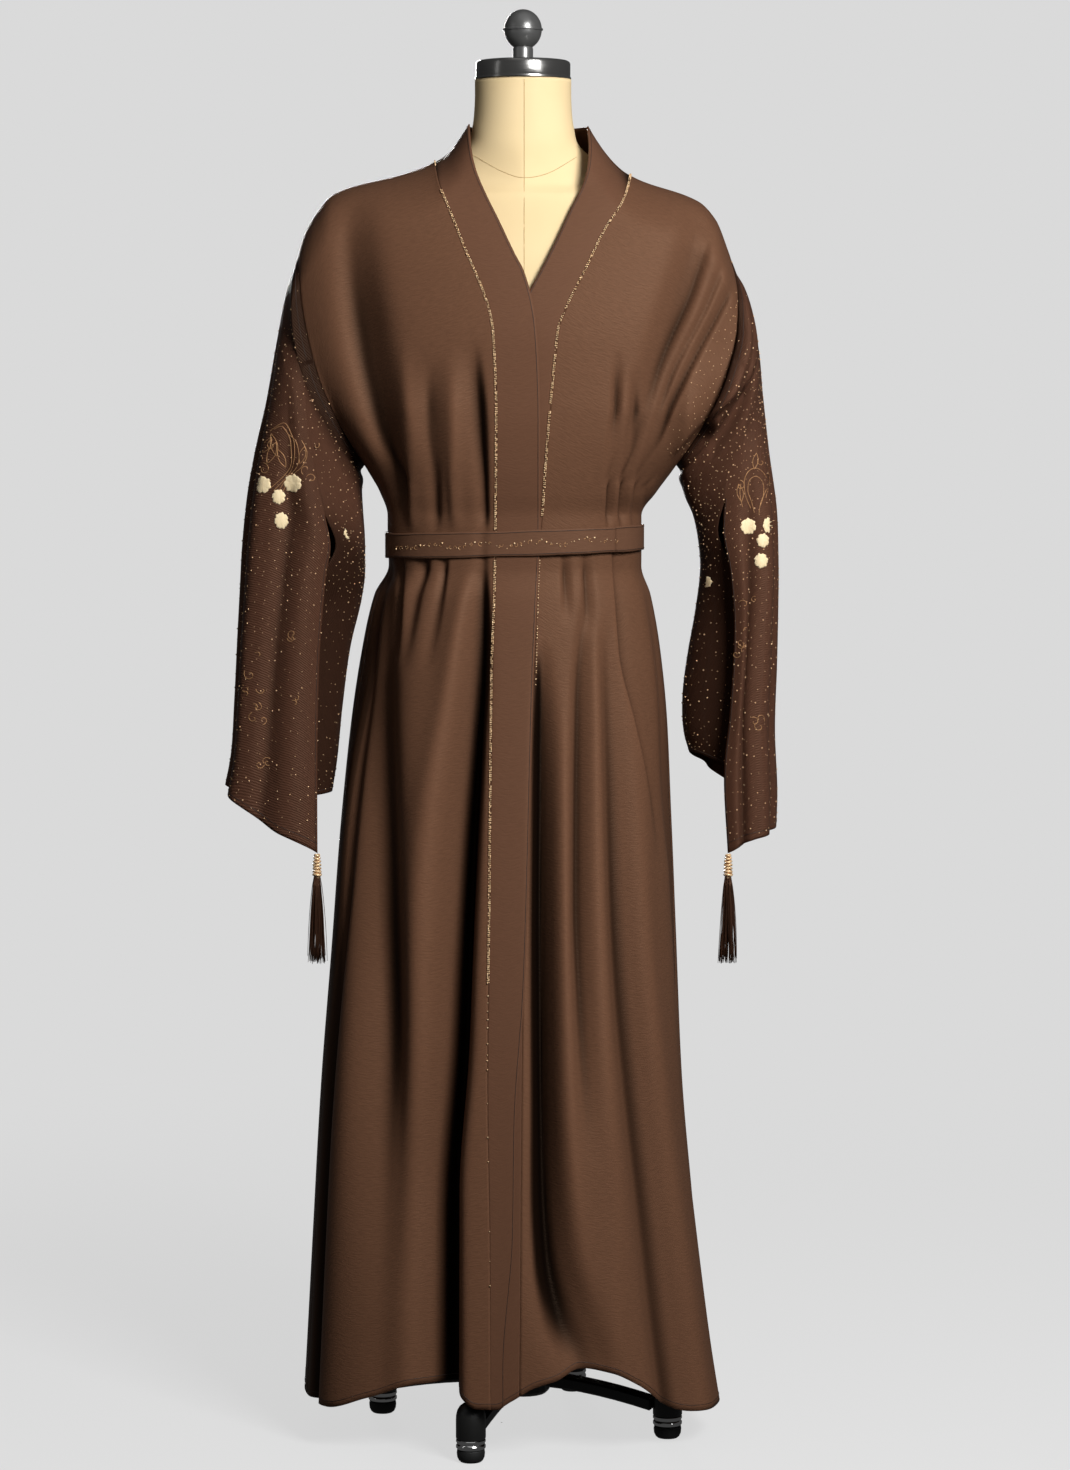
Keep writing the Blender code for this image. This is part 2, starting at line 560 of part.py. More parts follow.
def sleeve(side, loop):
    """Grid of a sleeve: row 0 is the armhole seam, the last row the cuff; columns run from the free edge of
    the front flap round the outside and the back to the inner flap's edge, behind the front one."""
    table = SLEEVE_RIGHT if side < 0 else SLEEVE_LEFT
    column = np.arange(SLEEVE_COLUMNS + 1)
    turn = (SLIT_COLUMN - column) * 360 / SLEEVE_COLUMNS
    start = loop[(SLIT_COLUMN - column) % SLEEVE_COLUMNS]
    top, low = start[:, 2].max(), start[:, 2].min()
    share = (start[:, 2] - low) / (top - low)
    belly = 4 * share * (1 - share)
    tip = start[np.argmax(start[:, 2])]
    pit = start[np.argmin(start[:, 2])]
    bow = start[:, 0] - (pit[0] + (tip[0] - pit[0]) * share)
    even = np.sign(np.cos(np.radians(turn))) * np.abs(np.cos(np.radians(turn))) ** (2 / SLEEVE_POWER)
    front_half = np.where(np.sin(np.radians(turn)) > 0, 1, -1)
    hem_z = curve(CUFF[side], turn)
    count = len(table)
    cap_out, cap_drop, cap_puff = SLEEVE_CAP
    cap = start + np.stack([side * (cap_out + cap_puff * belly), 0.04 * start[:, 1], -cap_drop * (share + 0.6)
                            * (1 - 0.6 * belly)], -1)
    rows = [start, cap]
    for k, (outer_x, outer_z, inner_x, inner_z, front, back, middle) in enumerate(table, 1):
        near = max(0.0, 1 - (k - 1) / ARMHOLE_FADE)
        ahead = even + (2 * share - 1 - even) * near
        aside = front_half * np.clip(1 - np.abs(ahead) ** SLEEVE_POWER, 0, 1) ** (1 / SLEEVE_POWER)
        x = side * ((outer_x + inner_x) / 2 + (outer_x - inner_x) / 2 * ahead) + SLEEVE_BOW * bow * near
        z = (outer_z + inner_z) / 2 + (outer_z - inner_z) / 2 * ahead
        y = middle - np.where(aside > 0, front, back) * aside
        z = z + (hem_z - z) * {count: 1.0, count - 1: 0.42, count - 2: 0.1}.get(k, 0.0)
        if k + 1 > SLIT_RING[side]:
            opened = (k + 1 - SLIT_RING[side]) / (count + 1 - SLIT_RING[side])
            x = x + (curve(FLAP_EDGE[side], z) - x[0]) * ease(turn, 60, 120)
            under = ease(-turn, 165, 240)
            x = x + side * SLIT_LAP * ease(opened, *LAP_GROWS) * under
            y = y + SLIT_BEHIND * (0.3 + 0.7 * opened) * under
        rows.append(np.stack([x, y, z], -1))
    return np.array(rows)


def armhole_loop(front, back_edge):
    """Closed loop of the armhole: from the shoulder tip down the front, and up the back."""
    return np.concatenate([front[:ARMHOLE_ROWS + 1], back_edge[ARMHOLE_ROWS - 1:0:-1]])


def cloth_pieces(materials):
    """The sewn pieces, cut from one surface along its seams."""
    back = back_panel()
    fronts = {side: half_panel(side, -1) for side in (-1, 1)}
    bands = {side: band(side, fronts[side], back) for side in (-1, 1)}
    back_side = {-1: back[:, 0], 1: back[:, -1]}
    back_next = {-1: back[:, 1], 1: back[:, -2]}
    neck = NECK_COLUMNS // 2
    middle = back.shape[1] // 2
    names = {-1: "right", 1: "left"}
    past_armhole = {}
    for side in (-1, 1):
        front = fronts[side]
        loop = armhole_loop(front[:, -1], back_side[side])
        inward = armhole_loop(front[:, -2], back_next[side])
        inward[ARMHOLE_ROWS] = front[ARMHOLE_ROWS + 1, -1]
        grid = sleeve(side, loop)
        order = (SLIT_COLUMN - np.arange(SLEEVE_COLUMNS + 1)) % SLEEVE_COLUMNS
        normal = normals_of(grid, above=inward[order]) * side
        closed = np.arange(len(grid)) <= SLIT_RING[side]
        wrap = np.cross(np.gradient(grid, axis=0)[closed, 0], (grid[:, 1] - grid[:, -2])[closed]) * side
        wrap = wrap / np.linalg.norm(wrap, axis=-1, keepdims=True)
        normal[closed, 0] = wrap
        normal[closed, -1] = wrap
        normal[0, order == 0] = corner_normal(side, TIP_LEAN)
        normal[0, order == ARMHOLE_ROWS] = corner_normal(side, PIT_LEAN)
        outer, inner = pull_back(grid, normal, ["above"])
        wall("sleeve_" + names[side], outer, inner, materials["sleeve"], closed)
        ring = np.empty((SLEEVE_COLUMNS, 3))
        ring[order[:-1]] = grid[1, :-1]
        past_armhole[side] = ring

    for side in (-1, 1):
        front = fronts[side]
        after = back_next[side].copy()
        after[:ARMHOLE_ROWS + 1] = past_armhole[side][:ARMHOLE_ROWS + 1]
        above = back[1, :FRONT_COLUMNS + 1][::-1] if side < 0 else back[1, -(FRONT_COLUMNS + 1):]
        before = bands[side][neck:, 1]
        normal = normals_of(front, before=before, after=after, above=above) * side
        normal[0, -1] = corner_normal(side, TIP_LEAN)
        normal[ARMHOLE_ROWS, -1] = corner_normal(side, PIT_LEAN)
        outer, inner = pull_back(front, normal, ["before", "after", "above"])
        wall("front_" + names[side], outer, inner, materials["crepe"])
        columns = middle + side * np.arange(neck)
        seam_before = np.concatenate([back[1, columns], front[:, 1]])
        other = bands[-side]
        normal = normals_of(bands[side], before=seam_before, above=other[1]) * -side
        outer, inner = pull_back(bands[side], normal, ["before", "above"])
        wall("band_" + names[side], outer, inner, materials["satin"])

    sides = {}
    for side in (-1, 1):
        sides[side] = fronts[side][:, -2].copy()
        loop = past_armhole[side]
        sides[side][1:ARMHOLE_ROWS] = loop[:ARMHOLE_ROWS:-1][:ARMHOLE_ROWS - 1]
        sides[side][0] = loop[0]
        sides[side][ARMHOLE_ROWS] = loop[ARMHOLE_ROWS]
    above = np.empty((back.shape[1], 3))
    above[:FRONT_COLUMNS + 1] = fronts[-1][1, ::-1]
    above[-(FRONT_COLUMNS + 1):] = fronts[1][1]
    for side in (-1, 1):
        columns = middle + side * np.arange(neck)
        above[columns] = bands[side][:neck, 1]
    normal = -normals_of(back, before=sides[-1], after=sides[1], above=above)
    for side, column in ((-1, 0), (1, -1)):
        normal[0, column] = corner_normal(side, TIP_LEAN)
        normal[ARMHOLE_ROWS, column] = corner_normal(side, PIT_LEAN)
    outer, inner = pull_back(back, normal, ["before", "after", "above"])
    wall("back", outer, inner, materials["crepe"])


def belt(material):
    """Flat belt round the waist, a little lower on the wearer's right, clear of the cloth under it."""
    angle = np.linspace(-180, 180, 57)[None, :]
    level = np.array([1.0, 0.5, 0.0])[:, None]
    proud = (BELT_GAP + BELT_WALL) / MM
    round_over = np.array([-0.4, 0.2, -0.4])[:, None]
    outer = skirt_point(angle, 1006.0 + 0 * level, proud + round_over)
    inner = skirt_point(angle, 1006.0 + 0 * level, BELT_GAP / MM + 0 * level)
    for grid in (outer, inner):
        grid[..., 2] = BELT_LOW / MM + BELT_TILT * grid[..., 0] + level * BELT_HEIGHT / MM
    wall("belt", outer * MM, inner * MM, material, np.ones(3, bool))


def tassel_radius(step):
    """Radius of the bundle of strands after so many steps down."""
    return TASSEL_RADIUS + (TASSEL_SPREAD - TASSEL_RADIUS) * float(ease(step, 0, STRAND_STEPS))


def tassel(name, side, material):
    """Bound head and hanging strands in one solid: the head's underside is parted into small squares, and
    each is drawn down as a strand."""
    count = TASSEL_GRID
    place = np.linspace(-1, 1, count + 1)
    gx, gy = np.meshgrid(place, place, indexing="ij")
    round_x = gx * np.sqrt(1 - gy ** 2 / 2)
    round_y = gy * np.sqrt(1 - gx ** 2 / 2)
    work = bmesh.new()
    low = [[work.verts.new((round_x[i, j], round_y[i, j], 0)) for j in range(count + 1)]
           for i in range(count + 1)]
    under = [work.faces.new((low[i][j], low[i][j + 1], low[i + 1][j + 1], low[i + 1][j]))
             for i in range(count) for j in range(count)]
    ring = ([low[i][0] for i in range(count)] + [low[count][j] for j in range(count)]
            + [low[i][count] for i in range(count, 0, -1)] + [low[0][j] for j in range(count, 0, -1)])
    below = ring
    for height, radius in TASSEL_PROFILE:
        above = [work.verts.new((v.co.x * radius, v.co.y * radius, height)) for v in ring]
        for k in range(len(ring)):
            after = (k + 1) % len(ring)
            work.faces.new((below[k], below[after], above[after], above[k]))
        below = above
    work.faces.new(below)
    bmesh.ops.scale(work, vec=(TASSEL_RADIUS, TASSEL_RADIUS, TASSEL_HEAD), verts=work.verts)
    bmesh.ops.recalc_face_normals(work, faces=work.faces)
    bmesh.ops.inset_individual(work, faces=under, thickness=STRAND_GAP)
    drop = (TASSEL_LENGTH - TASSEL_HEAD) / STRAND_STEPS
    for step in range(1, STRAND_STEPS + 1):
        made = bmesh.ops.extrude_discrete_faces(work, faces=under)["faces"]
        for k, face in enumerate(made):
            centre = face.calc_center_median()
            spread = tassel_radius(step) / tassel_radius(step - 1)
            short = STRAND_UNEVEN * math.sin(7.3 * k) * drop
            for vert in face.verts:
                vert.co.x += centre.x * (spread - 1)
                vert.co.y += centre.y * (spread - 1)
                vert.co.z -= drop + (short if step == STRAND_STEPS else 0)
        under = made
    mesh = bpy.data.meshes.new(name)
    work.to_mesh(mesh)
    work.free()
    piece = put(name, mesh, material)
    x, y, z = CUFF_TIP[side]
    piece.location = (x * MM, y * MM, z * MM - TASSEL_HANG - TASSEL_HEAD)


def form_body(material):
    """Torso and neck in one skin: rings from the neck's top down; the shoulders follow the cloth's shoulder
    line, just under it."""
    rows = list(FORM_NECK)
    for half, front, back, fullness in FORM_SHOULDER:
        line = min(float(shoulder(np.array(float(half)))), float(shoulder(np.array(-float(half)))))
        rows.append((line - FORM_CLEAR, half, front, back, fullness))
    rows += list(FORM_TORSO)
    turn = np.radians(np.arange(FORM_SIDES) * 360 / FORM_SIDES)
    points = []
    for z, half, front, back, fullness in rows:
        across = np.sign(np.sin(turn)) * np.abs(np.sin(turn)) ** (2 / fullness)
        ahead = -np.sign(np.cos(turn)) * np.abs(np.cos(turn)) ** (2 / fullness)
        depth = np.where(ahead < 0, front, back)
        points += [(x * MM, y * MM, z * MM) for x, y in zip(half * across, depth * ahead)]
    faces = []
    for row in range(len(rows) - 1):
        for k in range(FORM_SIDES):
            after = (k + 1) % FORM_SIDES
            top = row * FORM_SIDES
            low = top + FORM_SIDES
            faces.append((top + k, low + k, low + after, top + after))
    faces.append(tuple(range(FORM_SIDES)))
    last = (len(rows) - 1) * FORM_SIDES
    faces.append(tuple(last + k for k in reversed(range(FORM_SIDES))))
    mesh = bpy.data.meshes.new("form_body")
    mesh.from_pydata(points, [], faces)
    piece = put("form_body", mesh, material)
    piece.data.set_sharp_from_angle(angle=math.radians(50))


def turned(name, profile, material, place=(0, 0), steps=20):
    """Solid of revolution: the profile runs from the axis at the top down the outer side to the axis again."""
    mesh = bpy.data.meshes.new(name)
    points = [(radius * MM, 0, height * MM) for radius, height in profile]
    mesh.from_pydata(points, [(k, k + 1) for k in range(len(points) - 1)], [])
    mesh.materials.append(material)
    piece = bpy.data.objects.new(name, mesh)
    PARTS.objects.link(piece)
    piece.parent = ROOT
    piece.location = (place[0], place[1], 0)
    screw = piece.modifiers.new("turn", "SCREW")
    screw.steps = steps
    screw.render_steps = steps
    screw.use_merge_vertices = True
    screw.merge_threshold = 0.00001
    screw.use_smooth_shade = True


def leg(name, angle, material):
    """Arched flat bar from the hub to a foot: its side outline, given its width, with rounded edges."""
    along = np.linspace(LEG_START, FOOT_REACH / MM - FOOT_RADIUS / MM - 0.3, 7)
    share = (along - along[0]) / (along[-1] - along[0])
    low = LEG_HEIGHT[0] + (LEG_HEIGHT[1] - LEG_HEIGHT[0]) * share ** 1.7
    work = bmesh.new()
    outline = [(r, z) for r, z in zip(along, low)] + [(r, z + LEG_THICK) for r, z in zip(along[::-1], low[::-1])]
    verts = [work.verts.new((r * MM, -LEG_WIDTH / 2 * MM, z * MM)) for r, z in outline]
    face = work.faces.new(verts)
    moved = bmesh.ops.extrude_face_region(work, geom=[face])["geom"]
    far = [part for part in moved if isinstance(part, bmesh.types.BMVert)]
    bmesh.ops.translate(work, vec=(0, LEG_WIDTH * MM, 0), verts=far)
    mesh = bpy.data.meshes.new(name)
    work.to_mesh(mesh)
    work.free()
    piece = put(name, mesh, material)
    piece.rotation_euler = (0, 0, angle)
    bevel = piece.modifiers.new("edges", "BEVEL")
    bevel.width = 0.002
    bevel.segments = 1
    bevel.limit_method = "ANGLE"


def stand(materials):
    """Pole, hub, four legs and their feet."""
    turned("neck_cap", NECK_CAP, materials["steel"], steps=32)
    turned("finial", finial_profile(), materials["gunmetal"], steps=24)
    radius = POLE_RADIUS / MM
    top = FORM_TORSO[-1][0] - 0.3
    low = HUB_TOP + 0.3
    turned("pole", ((0, top), (radius, top), (radius, low), (0, low)), materials["black"], steps=16)
    turned("hub", HUB, materials["black"])
    for k in range(4):
        angle = -LEG_TURN + k * math.pi / 2
        place = (FOOT_REACH * math.cos(angle), FOOT_REACH * math.sin(angle))
        number = str(k + 1)
        leg("leg_" + number, angle, materials["black"])
        turned("foot_housing_" + number, FOOT_HOUSING, materials["black"], place, 16)
        turned("foot_ring_" + number, FOOT_RING, materials["chrome"], place, 16)
        turned("foot_glide_" + number, FOOT_GLIDE, materials["rubber"], place, 16)


def finial_profile():
    """Ball with a thin flange at its widest line, on a short stem."""
    turn = np.radians(np.linspace(0, 150, 11))
    ball = [(BALL[0] * math.sin(t), BALL[2] + BALL[1] * math.cos(t)) for t in turn]
    flange = [(BALL[0] + 1.4, BALL[2] + 0.9), (BALL[0] + 1.4, BALL[2] - 0.9)]
    upper = [point for point in ball if point[1] > BALL[2] + 3]
    lower = [point for point in ball if point[1] < BALL[2] - 3]
    edge = [(BALL[0], BALL[2] + 0.9)] + flange + [(BALL[0], BALL[2] - 0.9)]
    stem = [(STEM_RADIUS, STEM_TOP), (STEM_RADIUS, STEM_LOW), (0, STEM_LOW)]
    return upper + edge + lower + stem


def finish(name, colour, roughness, metallic=0.0):
    """Plain material with an sRGB colour."""
    material = bpy.data.materials.new(name)
    material.use_nodes = True
    shader = material.node_tree.nodes["Principled BSDF"]
    parts = [int(colour[k:k + 2], 16) / 255 for k in (1, 3, 5)]
    linear = [p / 12.92 if p <= 0.04045 else ((p + 0.055) / 1.055) ** 2.4 for p in parts]
    shader.inputs["Base Color"].default_value = (*linear, 1)
    shader.inputs["Roughness"].default_value = roughness
    shader.inputs["Metallic"].default_value = metallic
    return material


def main():
    materials = {
        "crepe": finish("brown_crepe", "#6b4b3a", 0.55),
        "sleeve": finish("beaded_brown_crepe", "#5c4032", 0.55),
        "satin": finish("brown_satin_band", "#664737", 0.45),
        "tassel": finish("dark_brown_silk", "#3a251b", 0.5),
        "form": finish("cream_linen_jersey", "#f6e7c3", 0.75),
        "gunmetal": finish("dark_grey_satin_metal", "#6f6f6e", 0.38, 1.0),
        "steel": finish("brushed_steel", "#a9a9a9", 0.3, 1.0),
        "chrome": finish("chrome_plate", "#c8c8c8", 0.12, 1.0),
        "black": finish("black_powder_coat", "#1b1b1a", 0.4),
        "rubber": finish("black_rubber", "#141414", 0.7),
    }
    cloth_pieces(materials)
    belt(materials["satin"])
    tassel("tassel_right", -1, materials["tassel"])
    tassel("tassel_left", 1, materials["tassel"])
    form_body(materials["form"])
    stand(materials)


for old in list(bpy.data.objects):
    bpy.data.objects.remove(old)
PARTS = bpy.data.collections.new("abaya_cloak")
bpy.context.scene.collection.children.link(PARTS)
ROOT = bpy.data.objects.new("pole_axis", None)
ROOT.location = (POLE_X, POLE_Y, 0)
PARTS.objects.link(ROOT)
main()
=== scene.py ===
# %% [markdown]
# # An abaya cloak on a dress form
# The cloak is an open-front robe of dark brown satin crepe, lapped right over left and held by a belt.  The
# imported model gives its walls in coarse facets.  Here each sewn piece is made again as a fine sheet on the
# same form, with its creases, and gets the finish of the real cloth.  The sheets could be draped by a cloth
# simulation, but a drape that has to match one garment is easier to steer as a surface worked out in numpy.

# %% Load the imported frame
import math

import bpy
import numpy as np
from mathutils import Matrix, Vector


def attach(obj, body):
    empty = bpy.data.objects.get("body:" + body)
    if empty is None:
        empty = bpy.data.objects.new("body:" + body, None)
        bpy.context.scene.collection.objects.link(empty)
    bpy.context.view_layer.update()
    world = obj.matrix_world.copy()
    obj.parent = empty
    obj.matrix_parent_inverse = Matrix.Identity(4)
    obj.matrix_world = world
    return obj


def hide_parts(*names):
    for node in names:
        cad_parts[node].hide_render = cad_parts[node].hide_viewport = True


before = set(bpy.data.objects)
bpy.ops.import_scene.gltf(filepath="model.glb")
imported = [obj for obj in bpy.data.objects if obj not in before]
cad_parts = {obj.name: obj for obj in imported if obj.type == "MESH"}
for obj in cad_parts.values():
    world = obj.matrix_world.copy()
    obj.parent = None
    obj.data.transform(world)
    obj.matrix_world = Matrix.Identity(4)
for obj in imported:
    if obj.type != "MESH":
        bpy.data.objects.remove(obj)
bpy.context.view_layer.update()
MM = 0.001
POLE = np.array([24.8, -8.0, 0.0])
SIDES = {-1: "right", 1: "left"}

# %% [markdown]
# ## The camera
# The photograph looks slightly down from chest height, a little to the cloak's left of the pole, through a
# short telephoto lens.  The sensor's 36 mm belong to the frame's long side.

# %% Camera
EYE = (38.1, -4508.0, 1150.0)
AIM = (38.1, -8.0, 787.4)
LENS = 98.43
camera_data = bpy.data.cameras.new("studio_camera")
camera_data.lens = LENS
camera_data.sensor_width = 36.0
camera_data.clip_end = 60.0
camera = bpy.data.objects.new("studio_camera", camera_data)
camera.location = Vector(EYE) * MM
camera.rotation_euler = (Vector(AIM) - Vector(EYE)).to_track_quat("-Z", "Y").to_euler()
bpy.context.scene.collection.objects.link(camera)
bpy.context.scene.camera = camera
bpy.context.scene.view_settings.view_transform = "Standard"
print("camera", [round(v, 3) for v in camera.location])

# %% [markdown]
# ## Small helpers
# Colours are written as sRGB hex values and turned to linear light by one function.  A material is a chain of
# nodes, so one function adds a node, sets it and links it.

# %% Colour and node helpers
def linear(hex_colour):
    """sRGB to linear light: below 0.04045 divide by 12.92, above it ((c + 0.055) / 1.055) to the power 2.4."""
    parts = [int(hex_colour[k:k + 2], 16) / 255 for k in (1, 3, 5)]
    return [p / 12.92 if p <= 0.04045 else ((p + 0.055) / 1.055) ** 2.4 for p in parts] + [1.0]


def add(material, kind, settings=None, **sockets):
    """Adds one node: settings are its own properties, sockets its inputs, each a value or another output."""
    tree = material.node_tree
    node = tree.nodes.new(kind)
    for key, value in (settings or {}).items():
        setattr(node, key, value)
    for key, value in sockets.items():
        socket = node.inputs[int(key[1:])] if key[0] == "i" and key[1:].isdigit() else node.inputs[
            key.replace("_", " ")]
        if isinstance(value, bpy.types.NodeSocket):
            tree.links.new(value, socket)
        else:
            socket.default_value = value
    return node


def start(name, colour, roughness, **sockets):
    """A material with a Principled shader whose constant values are set on its own sockets."""
    material = bpy.data.materials.new(name)
    material.use_nodes = True
    shader = material.node_tree.nodes["Principled BSDF"]
    shader.inputs["Base Color"].default_value = linear(colour)
    shader.inputs["Roughness"].default_value = roughness
    for key, value in sockets.items():
        shader.inputs[key.replace("_", " ")].default_value = value
    return material, shader


def join(material, output, socket):
    material.node_tree.links.new(output, socket)


def ranged(material, value, to, source=(0.0, 1.0), settings=None):
    """Carries a value from the source range to the other one."""
    node = add(material, "ShaderNodeMapRange", settings, Value=value)
    for key, number in zip(("From Min", "From Max", "To Min", "To Max"), (*source, *to)):
        node.inputs[key].default_value = number
    return node.outputs[0]


# Sockets of a Mix node that are for colours: its two inputs and its result
MIX_A, MIX_B, MIX_OUT = 6, 7, 2


def two_tones(material, factor, first, second):
    """Blends two sRGB hex colours by a factor."""
    tone = add(material, "ShaderNodeMix", {"data_type": "RGBA"}, Factor=factor)
    tone.inputs[MIX_A].default_value = linear(first)
    tone.inputs[MIX_B].default_value = linear(second)
    return tone.outputs[MIX_OUT]


# %% [markdown]
# ## Curves through tables
# A maker thinks of the garment as a few measured rows: how wide it is at the waist, where the seam runs.  A
# monotone cubic through such a table never swings past its rows, so the drape has no bumps of its own.

# %% Curves and steps
def curve(table, at, column=1):
    """Monotone cubic: Hermite pieces whose slope at a row is the harmonic mean of its neighbours' slopes, and
    zero at each hill and hollow."""
    rows = sorted(((row[0], row[column]) for row in table), key=lambda pair: pair[0])
    x = np.array([row[0] for row in rows], float)
    y = np.array([row[1] for row in rows], float)
    step = np.diff(x)
    slope = np.diff(y) / step
    lean = np.zeros_like(y)
    both = slope[:-1] * slope[1:]
    total = slope[:-1] + slope[1:]
    lean[1:-1] = np.where(both > 0, 2 * both / np.where(both > 0, total, 1), 0)
    lean[0] = slope[0]
    lean[-1] = slope[-1]
    at = np.clip(np.asarray(at, float), x[0], x[-1])
    k = np.clip(np.searchsorted(x, at) - 1, 0, len(step) - 1)
    t = (at - x[k]) / step[k]
    begin = (1 + 2 * t) * (1 - t) ** 2 * y[k] + t * (1 - t) ** 2 * step[k] * lean[k]
    end = t * t * (3 - 2 * t) * y[k + 1] + t * t * (t - 1) * step[k] * lean[k + 1]
    return begin + end


def ease(value, low, high):
    """Smooth step: 3 t squared minus 2 t cubed, where t runs from 0 at low to 1 at high."""
    t = np.clip((np.asarray(value, float) - low) / (high - low), 0, 1)
    return t * t * (3 - 2 * t)


# %% [markdown]
# ## The garment's own sizes
# All in millimetres from the pole.  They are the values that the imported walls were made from.

# %% Sizes of the garment
CLOTH = 0.8
LAYER = 2.8
UNDERARM = 1090.0
WAIST_TOP = 1034.0
WAIST_LOW = 978.0
SECTION_POWER = 2.3
SHOULDER_ROLL = 60.0

# height, half width to -X and to +X, depth in front and behind
SECTION = (
    (1480, 262, 262, 60, 64), (1425, 262, 262, 66, 70), (1370, 256, 252, 84, 88), (1300, 246, 246, 102, 104),
    (1220, 232, 238, 113, 108), (1150, 205, 205, 114, 105), (1090, 177, 171, 109, 101),
    (1060, 160, 149, 104, 98), (1034, 151.5, 132.5, 99, 94), (978, 151.5, 132.5, 99, 94),
    (945, 168, 143, 107, 103), (885, 182, 154, 116, 116), (800, 195, 163, 127, 132),
    (700, 205, 168, 139, 148),
    (560, 215, 175, 156, 166), (400, 228, 184, 172, 182), (250, 237, 200, 182, 196),
    (130, 244, 215, 188, 204),
    (45, 249, 229, 191, 208),
)
SKIRT_ROWS = (1090, 1062, 1034, 978, 948, 905, 850, 785, 710, 630, 545, 460, 375, 290, 205, 125, 60)
HEM_LEVEL = 60.0
SHOULDER_RIGHT = ((0, 1492), (60, 1468), (98, 1426), (133, 1412), (190, 1398), (212, 1389), (228, 1371),
                  (243, 1345), (249, 1325), (275, 1240))
SHOULDER_LEFT = ((0, 1492), (72, 1462), (119, 1411), (195, 1382), (214, 1362), (229, 1325), (260, 1240))
NECK_POINT = {-1: 98.0, 1: 119.0}
ARMHOLE = {
    -1: ((1090, 177), (1136, 203), (1189, 226), (1263, 243), (1325, 249)),
    1: ((1090, 171), (1136, 200), (1189, 224), (1240, 236), (1277, 237), (1325, 229)),
}
ARMHOLE_DEPTH = {-1: 52.0, 1: 54.0}
ARMHOLE_FULL = 0.45
SEAM_X = {
    -1: ((1426, -98), (1396, -91), (1372, -81), (1322, -61), (1285, -45), (1260, -36.5), (1234, -32),
         (1150, -29), (1010, -30), (938, -31.5), (870, -34), (618, -36.5), (421, -38.5), (243, -36),
         (60, -35)),
    1: ((1411, 119), (1395, 115), (1377, 108), (1349, 90), (1302, 67), (1277, 54), (1260, 46), (1240, 38.5),
        (1208, 35), (1121, 27), (1035, 21.5), (985, 16.5), (857, 12), (680, 2), (60, -4)),
}
EDGE = {
    -1: ((1426, -60, 1467), (1421, -59, 1455), (1405, -56, 1432), (1396, -52, 1416), (1381, -43, 1393),
         (1347, -26, 1358), (1306, -8, 1320), (1285, 1, 1303), (1260, 10, 1272), (1234, 14.5, 1245),
         (1205, 17, 1210), (1150, 19, 1150), (1021, 19, 1021), (940, 15.5, 940), (857, 12, 857),
         (618, 5.5, 618), (520, 2, 520), (372, -8, 372), (243, -10, 243), (102, -21, 102), (60, -21, 60)),
    1: ((1411, 72, 1462), (1403, 73, 1443), (1395, 72, 1424), (1377, 67, 1402), (1349, 52, 1370),
        (1327, 38, 1340), (1302, 23, 1310), (1277, 9, 1284), (1260, 0, 1266), (1240, -8, 1246),
        (1208, -14, 1208), (1121, -21, 1121), (60, -30, 60)),
}
NECK_RING = (5.5, 67.0, 68.0)
NECK_STAND = 1466.0
BAND_SAG = 7.0
HEM_FRONT = ((-250, 48), (-211, 50), (-175, 66), (-124, 84), (-88, 84), (-70, 75), (-50, 64), (-30, 64),
             (-12, 73), (12, 87), (38, 95), (65, 106), (100, 100), (127, 86), (165, 58), (190, 44), (230, 40))
HEM_BACK = ((-250, 56), (-190, 72), (-130, 58), (-60, 76), (0, 60), (70, 78), (140, 58), (190, 66), (230, 44))

# %% [markdown]
# ## Folds of the skirt
# A fold is a soft hill or trough that follows its own line down the skirt.  The two sides differ: beside the
# bands the cloth sinks slowly and comes back steeply, like a pleat that has half opened.  Each fold is a short
# table by height, so that it can start under the belt, wander and widen.

